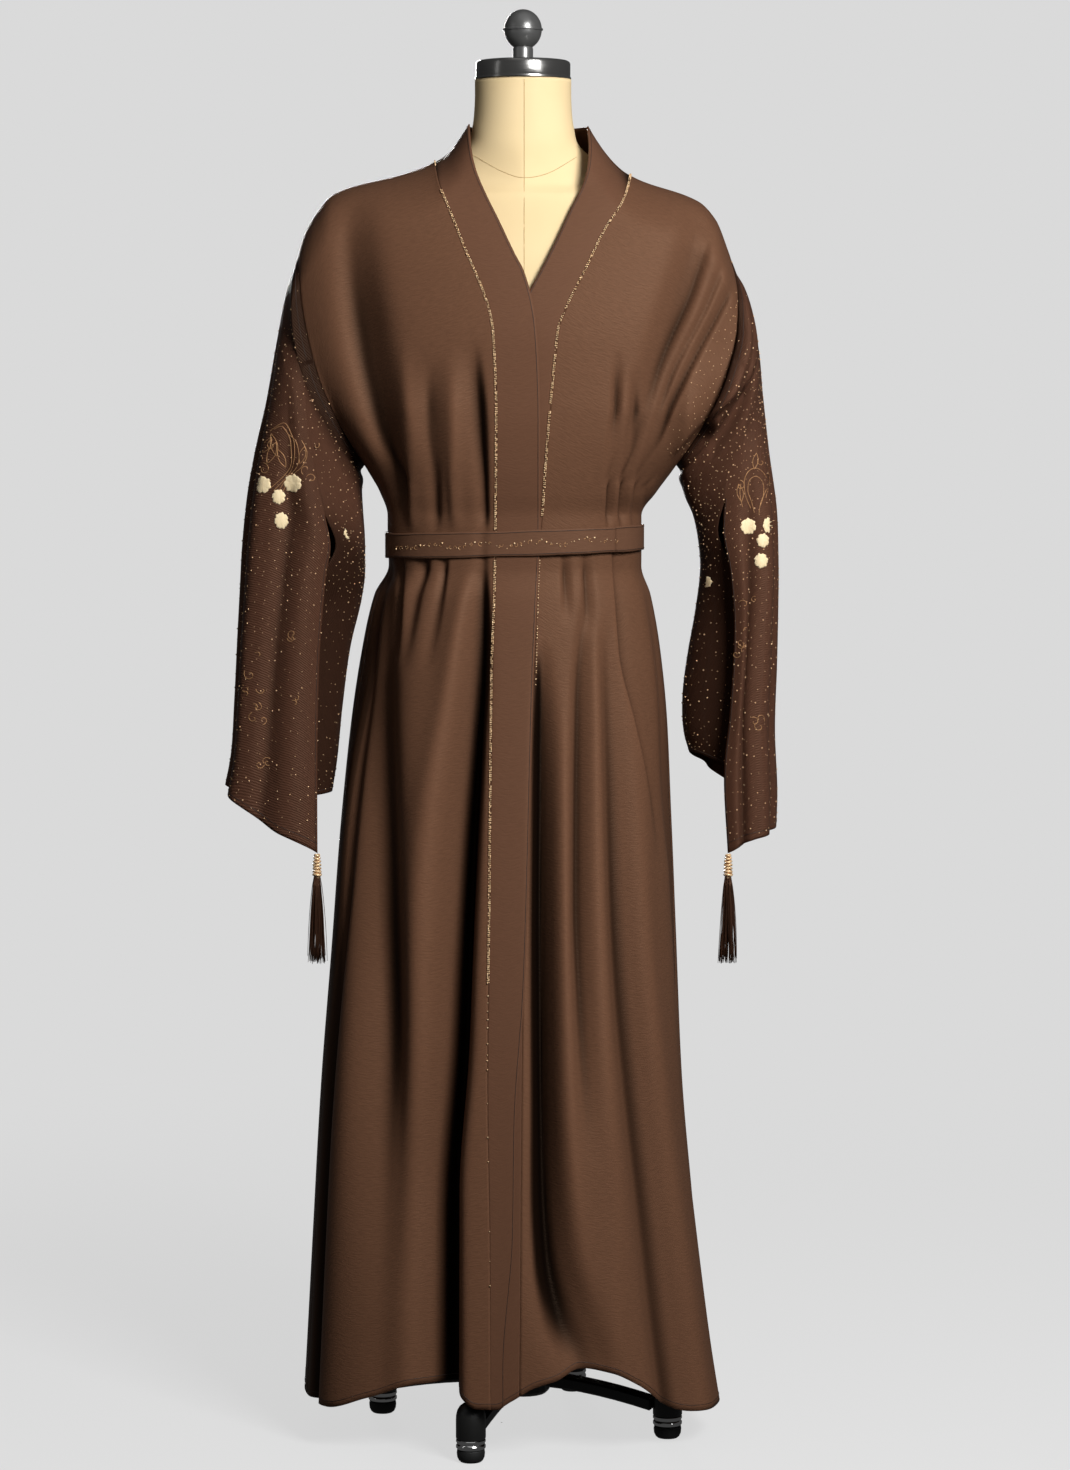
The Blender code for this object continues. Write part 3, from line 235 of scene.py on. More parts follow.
# %% Folds in front: name, then rows of height, X, half width to -X, half width to +X, how far out
FRONT_FOLDS = (
    ("deep valley by the band", (978, -44, 8, 5, -3), (900, -47, 16, 8, -16), (778, -56, 26, 10, -32),
     (668, -66, 30, 13, -42), (558, -73, 32, 14, -48), (448, -79, 34, 15, -52), (283, -92, 36, 16, -56),
     (60, -92, 38, 16, -54)),
    ("lit roll left of it", (985, -58, 9, 9, 0), (940, -66, 12, 10, 5), (833, -80, 16, 14, 8),
     (723, -98, 20, 16, 10), (613, -108, 22, 18, 9), (503, -114, 22, 20, 7), (393, -120, 24, 20, 5),
     (60, -128, 26, 22, 6)),
    ("left valley", (1000, -146, 8, 10, 0), (940, -162, 14, 20, -14), (813, -172, 20, 26, -26),
     (650, -168, 22, 28, -30), (465, -160, 22, 28, -28), (300, -158, 22, 28, -19), (150, -156, 22, 26, -10)),
    ("gather 1", (1000, -108, 6, 6, 0), (975, -111, 6, 6, -8), (943, -122, 8, 8, -8), (860, -136, 10, 10, 0)),
    ("gather 2", (1000, -138, 5, 5, 0), (975, -139, 5, 5, -8), (930, -146, 7, 7, -7), (870, -152, 9, 9, 0)),
    ("gather 5", (1000, -86, 5, 5, 0), (972, -88, 5, 4, -6), (925, -96, 8, 6, -5), (860, -108, 9, 8, 0)),
    ("side roll", (800, -180, 20, 16, 0), (613, -180, 18, 18, 5), (300, -200, 20, 22, 8),
     (60, -212, 20, 24, 8)),
    ("under the band", (900, 22, 6, 8, 0), (778, 22, 8, 13, -17), (613, 22, 9, 15, -28),
     (393, 24, 10, 17, -34),
     (283, 26, 12, 20, -32), (200, 31, 14, 24, -28), (130, 46, 20, 28, -21), (60, 74, 26, 32, -12)),
    ("roll 1", (850, 44, 8, 9, 0), (700, 43, 9, 10, 4), (400, 46, 10, 12, 5), (200, 62, 14, 14, 3),
     (120, 80, 14, 14, 0)),
    ("small valley", (960, 72, 7, 7, 0), (833, 64, 8, 9, -8), (613, 63, 9, 10, -12), (503, 66, 10, 11, -9),
     (300, 76, 12, 12, 0)),
    ("roll 2", (930, 84, 9, 9, 0), (800, 82, 10, 10, 4), (500, 90, 12, 12, 4), (250, 104, 14, 14, 2)),
    ("long valley", (930, 92, 8, 8, 0), (833, 99, 12, 14, -8), (613, 108, 14, 18, -12),
     (503, 116, 16, 20, -13),
     (393, 128, 18, 22, -14), (283, 142, 20, 24, -15), (173, 156, 22, 24, -15), (60, 172, 22, 24, -15)),
    ("right roll", (850, 128, 12, 14, 0), (613, 132, 12, 14, 6), (393, 152, 13, 15, 8), (173, 184, 15, 16, 9),
     (60, 200, 16, 16, 9)),
    ("sharp crease", (1000, 103, 2, 14, -5), (944, 108, 2.5, 18, -10), (884, 114, 3, 22, -12),
     (811, 131, 3.5, 22, -11), (723, 149, 5, 20, -6), (640, 158, 8, 18, 0)),
    ("gather 3", (1000, 70, 5, 5, 0), (965, 72, 4, 6, -6), (900, 76, 7, 8, 0)),
    ("gather 4", (1000, 46, 4, 5, 0), (970, 48, 4, 5, -5), (915, 50, 7, 7, 0)),
)

# %% Folds behind and at the sides, by angle: waist, middle, hem; half width; how far out
ROUND_FOLDS = (
    ("side seam valley right", -84, -71, -69, 4, 3, -3, -9, -12),
    ("side valley left", 78, 84, 92, 6, 9, -3, -8, -13),
    ("back valley 1", -112, -116, -118, 6, 9, -4, -14, -24),
    ("back roll 1", -132, -135, -136, 8, 10, 3, 8, 10),
    ("back valley 2", -152, -154, -156, 6, 9, -6, -18, -30),
    ("back valley 3", 176, 178, 180, 6, 9, -5, -15, -26),
    ("back roll 2", 158, 161, 162, 8, 9, 2, 8, 8),
    ("back valley 4", 140, 138, 136, 6, 9, -5, -16, -28),
    ("back valley 5", 112, 112, 112, 6, 9, -4, -12, -20),
)
BACK_GATHERS = (
    ("gather", -165, -168, -170, 1.6, 4.0, -4, -2, 0),
    ("gather", -142, -144, -146, 1.8, 4.5, -4.5, -3, 0),
    ("gather", -124, -125, -127, 1.6, 4.0, -4, -2, 0),
    ("gather", 168, 169, 170, 1.6, 4.0, -4, -2, 0),
    ("gather", 149, 150, 150, 1.8, 4.5, -4.5, -3, 0),
    ("gather", 127, 126, 125, 1.6, 4.5, -4, -3, 0),
)

# %% Creases of the bodice: side (-1, 1 in front, -2, 2 behind), rows of height, X, widths and depth
BODICE_FOLDS = (
    (-1, (1400, -188, 20, 20, 0), (1330, -184, 22, 22, -12), (1230, -172, 24, 24, -23),
     (1130, -152, 20, 16, -22),
     (1060, -136, 11, 9, -10), (1036, -133, 7, 7, -2)),
    (-1, (1230, -131, 10, 10, 0), (1140, -126, 10, 10, 5), (1040, -121, 7, 7, 4)),
    (-1, (1210, -101, 10, 10, 0), (1130, -99, 9, 8, -7), (1040, -97, 7, 6, -6)),
    (-1, (1220, -78, 10, 10, 0), (1120, -76, 9, 9, 6), (1040, -74, 7, 7, 4)),
    (-1, (1230, -54, 12, 6, 0), (1140, -46, 12, 5, -7), (1040, -42, 8, 4, -5)),
    (1, (1400, 198, 16, 16, 0), (1340, 190, 18, 18, -8), (1240, 162, 18, 18, -11), (1130, 128, 12, 12, -8),
     (1040, 112, 7, 7, -2)),
    (1, (1215, 103, 5, 6, 0), (1150, 101, 3.5, 5, -7), (1040, 98, 3.5, 5, -7)),
    (1, (1200, 124, 5, 6, 0), (1130, 121, 4, 5, -8), (1040, 114, 3.5, 4, -7)),
    (1, (1150, 146, 6, 6, 0), (1100, 138, 5, 4, -6), (1040, 126, 4, 4, -4)),
    (1, (1300, 236, 6, 6, 0), (1270, 222, 9, 3, -5), (1188, 179, 12, 2.5, -8), (1133, 155, 11, 2.5, -8),
     (1067, 140, 8, 3, -5), (1040, 134, 5, 3, 0)),
    (1, (1330, 226, 6, 6, 0), (1270, 204, 6, 3, -4.5), (1188, 163, 6, 3, -5), (1120, 139, 5, 3, 0)),
    (1, (1360, 210, 6, 6, 0), (1280, 186, 7, 4, -4.5), (1200, 150, 7, 4, -2), (1150, 136, 7, 4, 0)),
    (-2, (1360, -160, 24, 24, 0), (1250, -142, 24, 24, -9), (1100, -122, 20, 20, -9),
     (1040, -116, 10, 10, -3)),
    (2, (1360, 160, 24, 24, 0), (1250, 142, 24, 24, -9), (1100, 122, 20, 20, -9), (1040, 112, 10, 10, -3)),
    (2, (1180, 22, 14, 14, 0), (1100, 18, 12, 12, -7), (1040, 14, 8, 8, -6)),
    (-2, (1170, -30, 12, 12, 0), (1100, -34, 9, 9, -6), (1040, -36, 6, 6, -5)),
    (2, (1170, 70, 12, 12, 0), (1100, 66, 9, 9, -6), (1040, 62, 6, 6, -5)),
    (-2, (1160, -80, 12, 12, 0), (1100, -78, 8, 8, -5), (1040, -76, 6, 6, -5)),
)
print(len(FRONT_FOLDS) + len(ROUND_FOLDS) + len(BACK_GATHERS), "skirt folds and", len(BODICE_FOLDS), "creases")


# %% How the folds add up
def trough(x, z, rows):
    """Depth times exp(-(distance / width) squared), where path, widths and depth follow the rows by height and
    the width differs on the two sides of the path."""
    path = curve(rows, z, 1)
    away = x - path
    width = np.where(away < 0, curve(rows, z, 2), curve(rows, z, 3))
    return curve(rows, z, 4) * np.exp(-(away / width) ** 2)


def round_fold(angle, z, folds):
    """The same by angle round the pole, for the sides and the back."""
    down = np.clip((WAIST_LOW - z) / (WAIST_LOW - HEM_LEVEL), 0, 1)
    total = 0
    for _, top, middle, low, wide_top, wide_low, out_top, out_middle, out_low in folds:
        path = curve(((0, top), (0.42, middle), (1, low)), down)
        size = curve(((0, 0), (0.07, out_top), (0.42, out_middle), (1, out_low)), down)
        away = (angle - path + 180) % 360 - 180
        total = total + size * np.exp(-(away / (wide_top + (wide_low - wide_top) * down)) ** 2)
    return total


def skirt_fold(angle, x, z):
    front = sum(trough(x, z, fold[1:]) for fold in FRONT_FOLDS)
    front = front * (1 - ease(np.abs(angle), 84, 96)) * (1 - ease(z, 990, 1030))
    return front + round_fold(angle, z, ROUND_FOLDS) + round_fold(angle, z, BACK_GATHERS)


def bodice_fold(x, z, face):
    """Sum of the creases of one face, faded out at the waist under the belt."""
    total = 0
    for fold in BODICE_FOLDS:
        if (abs(fold[0]) == 2) == (face > 0):
            total = total + trough(x, z, fold[1:])
    return total * ease(z, WAIST_TOP - 22, WAIST_TOP + 8)


# %% [markdown]
# ## The plain garment under the folds
# Below the underarm the garment is a tube: a rounded section that changes with height, which has a front, a
# back and two open edges that lap.  Above it, front and back part and meet again along the shoulder line.

# %% Plain surface
def shoulder(x):
    return np.where(x < 0, curve(SHOULDER_RIGHT, np.abs(x)), curve(SHOULDER_LEFT, np.abs(x)))


def hem(x, behind):
    return np.where(behind, curve(HEM_BACK, x), curve(HEM_FRONT, x))


def side_angle(side, z):
    if side < 0:
        return -90 + 13 * (1 - ease(z, 250, 950))
    return 90 + 0 * z


def depth_at(x, z, reach, stand, power, face):
    """Superellipse from the full depth in the middle to the stand-off at the reach, rolled to nothing over the
    last few centimetres under the shoulder line."""
    full = curve(SECTION, z, 3 if face < 0 else 4)
    share = np.clip(1 - (np.abs(x) / reach) ** SECTION_POWER, 0, 1) ** power
    below = np.clip((shoulder(x) - z) / SHOULDER_ROLL, 0, 1)
    return face * (stand + (full - stand) * share) * np.sqrt(1 - (1 - below) ** 2)


def upper_rows(side, count):
    """Heights from the shoulder tip to the underarm, closer at the tip, with reach, stand-off and fullness."""
    table = ARMHOLE[side]
    tip = table[-1][0]
    turn = np.linspace(0, math.pi / 2, count + 1)
    height = UNDERARM + (tip - UNDERARM) * np.cos(turn)
    share = (height - UNDERARM) / (tip - UNDERARM)
    stand = ARMHOLE_DEPTH[side] * np.sqrt(1 - (1 - np.clip(share / ARMHOLE_FULL, 0, 1)) ** 2)
    power = 1 / SECTION_POWER + 0.38 * ease(share, 0, 0.5)
    return height, curve(table, height), stand, power


def shift_of(side, u):
    return 0.0 if side < 0 else -LAYER * (1 - ease(u, 0.55, 1.0))


def width_at(angle, z):
    return np.where(angle < 0, curve(SECTION, z, 1), curve(SECTION, z, 2))


def skirt_point(angle, z, shift):
    """x = width sin(angle); y follows the superellipse; the folds push along the direction of the angle, and
    the hem's wave lowers or lifts the last half metre."""
    width = width_at(angle, z)
    behind = np.abs(angle) > 90
    depth = np.where(behind, curve(SECTION, z, 4), curve(SECTION, z, 3))
    x = width * np.sin(np.radians(angle))
    share = np.clip(1 - (np.abs(x) / width) ** SECTION_POWER, 0, 1) ** (1 / SECTION_POWER)
    y = np.where(behind, 1, -1) * depth * share
    drop = (hem(x, behind) - HEM_LEVEL) * (1 - ease(z, HEM_LEVEL, 620))
    out = skirt_fold(angle, x, z) + shift
    out = out + np.where(behind, bodice_fold(x, z, 1), bodice_fold(x, z, -1))
    return np.stack([x + out * np.sin(np.radians(angle)), y - out * np.cos(np.radians(angle)), z + drop], -1)


def bodice_point(x, z, spread, reach, stand, power, face, shift):
    y = depth_at(x, z, reach, stand, power, face)
    settle = (1 - ease(spread, 0.95, 1.0)) * ease(shoulder(x) - z, 0, 30)
    y = y + face * (bodice_fold(x, z, face) + shift) * settle
    return np.stack([x, y, z + 0 * x], -1)


def back_top(x):
    right = float(shoulder(np.array(-NECK_POINT[-1])))
    left = float(shoulder(np.array(NECK_POINT[1])))
    share = (x + NECK_POINT[-1]) / (NECK_POINT[1] + NECK_POINT[-1])
    inside = (x > -NECK_POINT[-1]) & (x < NECK_POINT[1])
    return np.where(inside, right + (left - right) * share, shoulder(x))


def fine_rows(per_row):
    """Heights from the underarm to the hem, with so many steps between two of the measured rows."""
    rows = np.array(SKIRT_ROWS, float)
    at = np.linspace(0, len(rows) - 1, (len(rows) - 1) * per_row + 1)
    return np.interp(at, np.arange(len(rows)), rows)


# %% Panels
# Rows above and below the underarm that are evened out where bodice and skirt meet, and how many times
SETTLE_ROWS, SETTLE_TIMES = 8, 20


def half_panel(side, face, columns, neck_columns, upper, per_row):
    """Grid of one half of the garment, from the shoulder to the hem and from the middle outwards."""
    neck = NECK_POINT[side]
    height, reach, stand, power = (values[:, None] for values in upper_rows(side, upper))
    tip = reach[0, 0]
    top = neck + (tip - neck) * np.linspace(0, 1, columns + 1)
    if face > 0:
        behind = neck * np.sin(np.radians(np.linspace(0, 90, neck_columns + 1)))
        top = np.concatenate([behind[:-1], top])
    u = np.linspace(0, 1, len(top))[None, :]
    z = fine_rows(per_row)[:, None]
    if face < 0:
        seam_x = curve(SEAM_X[side], z)
        begin = np.degrees(np.arcsin(seam_x / width_at(seam_x, z)))
    else:
        begin = np.full_like(z, side * 180.0)
    angle = begin + (side_angle(side, z) - begin) * u
    shift = shift_of(side, u) if face < 0 else 0.0
    lower = skirt_point(angle, z, shift)
    height, reach, stand, power = (values[:-1] for values in (height, reach, stand, power))
    spread = (height - UNDERARM) / (height[0] - UNDERARM)
    top_z = shoulder(side * top) if face < 0 else back_top(side * top)
    z = UNDERARM + (top_z - UNDERARM) * spread
    inner = side * curve(SEAM_X[side], z[:, :1]) if face < 0 else 0 * height
    low_place = side * width_at(angle[:1], UNDERARM + 0 * u) * np.sin(np.radians(angle[:1]))
    low_place = (low_place - low_place[:, :1]) / (low_place[:, -1:] - low_place[:, :1])
    top_place = (top - top[0]) / (top[-1] - top[0])
    place = low_place + (top_place - low_place) * spread ** 2
    x = side * (inner + (reach - inner) * place)
    upper_part = bodice_point(x, z, spread, reach, stand, power, face, shift)
    grid = np.concatenate([upper_part, lower])
    ends = ease(u, 0.0, 0.05) * (1 - ease(u, 0.93, 1.0))
    first, last = len(upper_part) - SETTLE_ROWS, len(upper_part) + SETTLE_ROWS
    for _ in range(SETTLE_TIMES):
        mean = (grid[first - 1:last - 1] + grid[first + 1:last + 1]) / 2
        grid[first:last] += 0.5 * ends[..., None] * (mean - grid[first:last])
    return grid


def band(side, back_row, neck_columns, strips, upper, per_row):
    """Grid of a front band: round the back of the neck, then down the front to the hem; its first column is
    the seam and its last the free edge."""
    across = np.linspace(0, 1, strips + 1)[None, :]
    shift = shift_of(side, 0.0)
    height, reach, stand, power = (values[:-1, None] for values in upper_rows(side, upper))
    spread = (height - UNDERARM) / (height[0] - UNDERARM)
    seam_z = UNDERARM + (shoulder(np.array(side * NECK_POINT[side])) - UNDERARM) * spread
    seam_x = curve(SEAM_X[side], seam_z)
    x = seam_x + (curve(EDGE[side], seam_z, 1) - seam_x) * across
    z = seam_z + (curve(EDGE[side], seam_z, 2) - seam_z) * across
    upper_part = bodice_point(x, z, spread, reach, stand, power, -1, shift)
    upper_part[..., 2] -= BAND_SAG * 4 * across * (1 - across) * ease(seam_z, 1360, 1420)
    z = fine_rows(per_row)[:, None]
    seam_x = curve(SEAM_X[side], z)
    x = seam_x + (curve(EDGE[side], z, 1) - seam_x) * across
    lower = skirt_point(np.degrees(np.arcsin(x / width_at(x, z))), z, shift)
    seam = back_row[:, None, :]
    turn = np.radians(np.linspace(90, 0, neck_columns + 1)[:-1])[:, None]
    centre, half, depth = NECK_RING
    across_neck = side * half * np.cos(turn) ** (2 / SECTION_POWER)
    ahead = depth * np.sin(turn) ** (2 / SECTION_POWER)
    edge = np.stack([centre + across_neck, ahead, NECK_STAND + 0 * turn], -1)
    neck = seam + (edge - seam) * across[..., None]
    neck[..., 2] -= BAND_SAG * 4 * across * (1 - across)
    return np.concatenate([neck, upper_part, lower])


# %% [markdown]
# ## Sleeves
# A wide sleeve hangs from the dropped shoulder.  Its tube is a stack of slanted rings from the armhole down.
# Below the elbow it is slit in front: the front flap ends in a point that carries the tassel, and the other
# edge lies behind it.

# %% Sleeve sizes: outer edge X and height, inner edge X and height, depth in front and behind, middle
SLEEVE_RINGS = {
    -1: ((261, 1290, 179, 1076, 55, 55, 1), (275, 1225, 180, 1062, 59, 57, 2),
         (287, 1160, 179, 1040, 62, 60, 3),
         (300, 1105, 177, 1008, 63, 62, 4), (309, 1056, 177, 985, 62, 62, 4),
         (315, 1000, 177, 962, 61, 62, 4),
         (318, 950, 181, 935, 60, 61, 4), (321, 900, 192, 890, 59, 60, 4), (325, 838, 202, 830, 58, 60, 4),
         (330, 783, 209, 776, 58, 60, 4), (336, 735, 214, 722, 58, 60, 4)),
    1: ((246, 1288, 174, 1077, 56, 56, 1), (262, 1222, 178, 1064, 57, 57, 2),
        (268, 1165, 182, 1052, 50, 60, 3),
        (275, 1105, 190, 1034, 50, 60, 4), (284, 1040, 196, 1006, 54, 60, 4), (286, 985, 198, 975, 58, 60, 4),
        (286, 930, 192, 925, 59, 60, 4), (285, 870, 184, 880, 60, 60, 4), (283, 805, 178, 836, 60, 60, 4),
        (286, 748, 180, 804, 59, 60, 4), (285, 700, 186, 770, 58, 60, 4)),
}
SLEEVE_POWER = 2.2
SLIT_TURN = 120.0
ARMHOLE_FADE = 4
SLEEVE_CAP = (4.0, 9.0, 8.0)
SLEEVE_BOW = 1.15
# The body hangs over the sleeve head and keeps light from it: dark to, and fully lit from, so far down
HEAD_SHADE = {-1: (6, 60), 1: (0, 14)}
SLIT_RING = 5
SLIT_BEHIND = 22.0
SLIT_LAP = 40.0
LAP_GROWS = (0.143, 0.5)
FLAP_EDGE = {
    -1: ((660, -229), (712, -229), (809, -228), (873, -226), (939, -221), (990, -215), (1035, -205)),
    1: ((660, 228), (699, 223), (757, 224), (833, 231), (910, 234), (960, 231), (1012, 222)),
}
CUFF = {
    -1: ((120, 659), (90, 679), (60, 705), (30, 722), (0, 731), (-90, 728), (-180, 722), (-240, 714)),
    1: ((120, 659), (90, 668), (60, 676), (30, 681), (0, 687), (-90, 730), (-180, 768), (-240, 742)),
}
CUFF_TIP = {-1: (-229.5, -49.0, 659.0), 1: (228.5, -49.0, 659.0)}


# %% Sleeve surface
def hermite_rows(rows, steps):
    """Smooth grid through the rows: cubic pieces over the mean chord length, with the slopes of a parabola
    through three rows."""
    chord = np.linalg.norm(np.diff(rows, axis=0), axis=-1).mean(axis=1)
    at = np.concatenate([[0], np.cumsum(chord)])
    slope = np.diff(rows, axis=0) / chord[:, None, None]
    lean = np.empty_like(rows)
    share = (chord[1:] / (chord[:-1] + chord[1:]))[:, None, None]
    lean[1:-1] = slope[:-1] * share + slope[1:] * (1 - share)
    lean[0], lean[-1] = slope[0], slope[-1]
    want = np.concatenate([np.linspace(at[k], at[k + 1], n, endpoint=False) for k, n in enumerate(steps)]
                          + [at[-1:]])
    k = np.clip(np.searchsorted(at, want, side="right") - 1, 0, len(chord) - 1)
    t = ((want - at[k]) / chord[k])[:, None, None]
    step = chord[k][:, None, None]
    begin = (1 + 2 * t) * (1 - t) ** 2 * rows[k] + t * (1 - t) ** 2 * step * lean[k]
    return begin + t * t * (3 - 2 * t) * rows[k + 1] + t * t * (t - 1) * step * lean[k + 1]


def sleeve_rings(side, loop):
    """Rings of a sleeve, from the armhole seam to the cuff: each is a superellipse between its outer and inner
    edge, and the first ones keep the armhole's bow."""
    columns = len(loop)
    first = round(columns * SLIT_TURN / 360)
    column = np.arange(columns + 1)
    turn = (first - column) * 360 / columns
    begin = loop[(first - column) % columns]
    top, low = begin[:, 2].max(), begin[:, 2].min()
    share = (begin[:, 2] - low) / (top - low)
    belly = 4 * share * (1 - share)
    tip, pit = begin[np.argmax(begin[:, 2])], begin[np.argmin(begin[:, 2])]
    bow = begin[:, 0] - (pit[0] + (tip[0] - pit[0]) * share)
    even = np.sign(np.cos(np.radians(turn))) * np.abs(np.cos(np.radians(turn))) ** (2 / SLEEVE_POWER)
    front_half = np.where(np.sin(np.radians(turn)) > 0, 1, -1)
    hem_z = curve(CUFF[side], turn)
    count = len(SLEEVE_RINGS[side])
    out, drop, puff = SLEEVE_CAP
    cap = begin + np.stack([side * (out + puff * belly), 0.04 * begin[:, 1],
                            -drop * (share + 0.6) * (1 - 0.6 * belly)], -1)
    rows = [begin, cap]
    for k, (outer_x, outer_z, inner_x, inner_z, front, back, middle) in enumerate(SLEEVE_RINGS[side], 1):
        near = max(0.0, 1 - (k - 1) / ARMHOLE_FADE)
        ahead = even + (2 * share - 1 - even) * near
        aside = front_half * np.clip(1 - np.abs(ahead) ** SLEEVE_POWER, 0, 1) ** (1 / SLEEVE_POWER)
        x = side * ((outer_x + inner_x) / 2 + (outer_x - inner_x) / 2 * ahead) + SLEEVE_BOW * bow * near
        z = (outer_z + inner_z) / 2 + (outer_z - inner_z) / 2 * ahead
        y = middle - np.where(aside > 0, front, back) * aside
        z = z + (hem_z - z) * {count: 1.0, count - 1: 0.42, count - 2: 0.1}.get(k, 0.0)
        if k + 1 > SLIT_RING:
            opened = (k + 1 - SLIT_RING) / (count + 1 - SLIT_RING)
            x = x + (curve(FLAP_EDGE[side], z) - x[0]) * ease(turn, 60, 120)
            under = ease(-turn, 165, 240)
            x = x + side * SLIT_LAP * ease(opened, *LAP_GROWS) * under
            y = y + SLIT_BEHIND * (0.3 + 0.7 * opened) * under
        rows.append(np.stack([x, y, z], -1))
    return np.array(rows), turn


# Long soft folds of a sleeve: side, turn at the top and at the cuff, width in degrees, depth, from row share on
SLEEVE_FOLDS = (
    (-1, 84, 74, 12, -9, 0.30), (-1, 48, 40, 12, 5, 0.35), (-1, 22, 14, 9, -7, 0.25),
    (-1, -50, -46, 14, -7, 0.2),
    (-1, -95, -88, 15, -8, 0.25), (-1, -135, -130, 12, -6, 0.3),
    (1, 74, 86, 10, -9, 0.42), (1, 44, 52, 13, 4, 0.4), (1, 20, 28, 8, -6, 0.35), (1, -48, -52, 14, -7, 0.2),
    (1, -92, -96, 15, -8, 0.25), (1, -138, -132, 12, -6, 0.3),
)
# Edge of the cloth that hangs over the wearer's left arm: X and height
DRAPE_EDGE = ((169, 1107), (192, 1133), (223, 1159), (246, 1182), (256, 1203), (262, 1235))
DRAPE_DEPTH = 17.0
DRAPE_SLANT = 0.74
DRAPE_WIDTH = (42, 3.0)


def drape_out(x, z):
    """Roll of cloth that ends along the drape's edge: steep below it, and fading slowly above."""
    line = curve(DRAPE_EDGE, x)
    above = (z - line) * DRAPE_SLANT
    size = np.exp(-(above / np.where(above > 0, *DRAPE_WIDTH)) ** 2)
    return DRAPE_DEPTH * size * ease(x, 158, 185) * (1 - ease(x, 252, 268))


def normals_of(grid):
    normal = np.cross(np.gradient(grid, axis=0), np.gradient(grid, axis=1))
    return normal / np.maximum(np.linalg.norm(normal, axis=-1, keepdims=True), 1e-9)


# %% [markdown]
# ## From a grid of points to a sheet
# A grid becomes a mesh of squares.  Its UV map is measured along the cloth in metres, so that weave and beads
# keep their size and follow the surface.  Solidify then gives the sheet its thickness, inwards.

# %% Meshes
def put(name, mesh, material):
    mesh.materials.append(material)
    mesh.shade_smooth()
    piece = bpy.data.objects.new(name, mesh)
    bpy.context.scene.collection.objects.link(piece)
    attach(piece, "root")
    return piece


# Painted shade: this share of light is stored on each sheet and multiplies the crepe's base colour
def openness_of(grid, outward, wide=(9.0, 26.0), deep=(4.0, 11.0), loss=(0.68, 0.94)):
    """How freely light reaches the cloth: the point's depth under the mean of its neighbours across the cloth,
    at two widths, takes away up to the given share of the light; the crest of a fold gains a little."""
    step = np.linalg.norm(np.diff(grid, axis=1), axis=-1).mean()
    place = np.arange(grid.shape[1]) * step
    normal = normals_of(grid) * outward
    light = 1.0
    for width, depth, most in zip(wide, deep, loss):
        near = np.exp(-0.5 * ((place[:, None] - place[None, :]) / width) ** 2)
        mean = np.einsum("jk,ikc->ijc", near / near.sum(axis=1, keepdims=True), grid)
        under = ((mean - grid) * normal).sum(axis=-1)
        light = light * (1 - most * ease(under, 0.0, depth)) * (1 + 0.1 * ease(-under, 0.5, depth))
    return light


def grid_mesh(name, grid, flip=False, joined=0, wrap=False, openness=None):
    """Squares between the rows and columns of a grid in millimetres from the pole; the first rows may be joined
    at their ends, and wrap closes every row."""
    rows, columns = grid.shape[:2]
    index = np.arange(rows * columns).reshape(rows, columns)
    if joined:
        index[:joined, -1] = index[:joined, 0]
    if wrap:
        index = np.concatenate([index, index[:, :1]], axis=1)
    quads = np.stack([index[:-1, :-1], index[1:, :-1], index[1:, 1:], index[:-1, 1:]], -1).reshape(-1, 4)
    if flip:
        quads = quads[:, ::-1]
    across = np.linalg.norm(np.diff(grid, axis=1), axis=-1) * MM
    along = np.linalg.norm(np.diff(grid, axis=0), axis=-1) * MM
    u = np.concatenate([np.zeros((rows, 1)), np.cumsum(across, axis=1)], axis=1)
    v = np.concatenate([np.zeros((1, columns)), np.cumsum(along, axis=0)], axis=0)
    used = np.unique(quads)
    place = np.full(rows * columns, -1)
    place[used] = np.arange(len(used))
    points = ((grid + POLE) * MM).reshape(-1, 3)[used]
    mesh = bpy.data.meshes.new(name)
    mesh.from_pydata(points.tolist(), [], place[quads].tolist())
    layer = mesh.uv_layers.new(name="cloth")
    corner = quads.ravel()
    unrolled = np.stack([u.ravel()[corner], v.ravel()[corner]], -1)
    layer.data.foreach_set("uv", unrolled.astype(np.float32).ravel())
    if openness is not None:
        shade = mesh.attributes.new("openness", "FLOAT", "POINT")
        shade.data.foreach_set("value", openness.ravel()[used].astype(np.float32))
    return mesh


def cloth(name, grid, material, node, flip=False, joined=0, thickness=CLOTH, shade=1.0):
    """One sewn piece: the sheet, its thickness and the CAD node that it stands for, which it hides."""
    # Painted shade: openness times the given shade is stored on the sheet and darkens its base colour
    openness = openness_of(grid, -1 if flip else 1) * shade
    piece = put(name, grid_mesh(name, grid, flip, joined, openness=openness), material)
    wall = piece.modifiers.new("cloth thickness", "SOLIDIFY")
    wall.thickness = thickness * MM
    wall.offset = -1
    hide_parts(node)
    return piece


def merged(name, parts, material):
    """Joins lists of (points in metres, faces) into one mesh."""
    points, faces, first = [], [], 0
    for some_points, some_faces in parts:
        points.append(np.asarray(some_points, float))
        faces += [tuple(int(v) + first for v in face) for face in some_faces]
        first += len(some_points)
    mesh = bpy.data.meshes.new(name)
    mesh.from_pydata(np.concatenate(points).tolist(), [], faces)
    piece = put(name, mesh, material)
    return piece


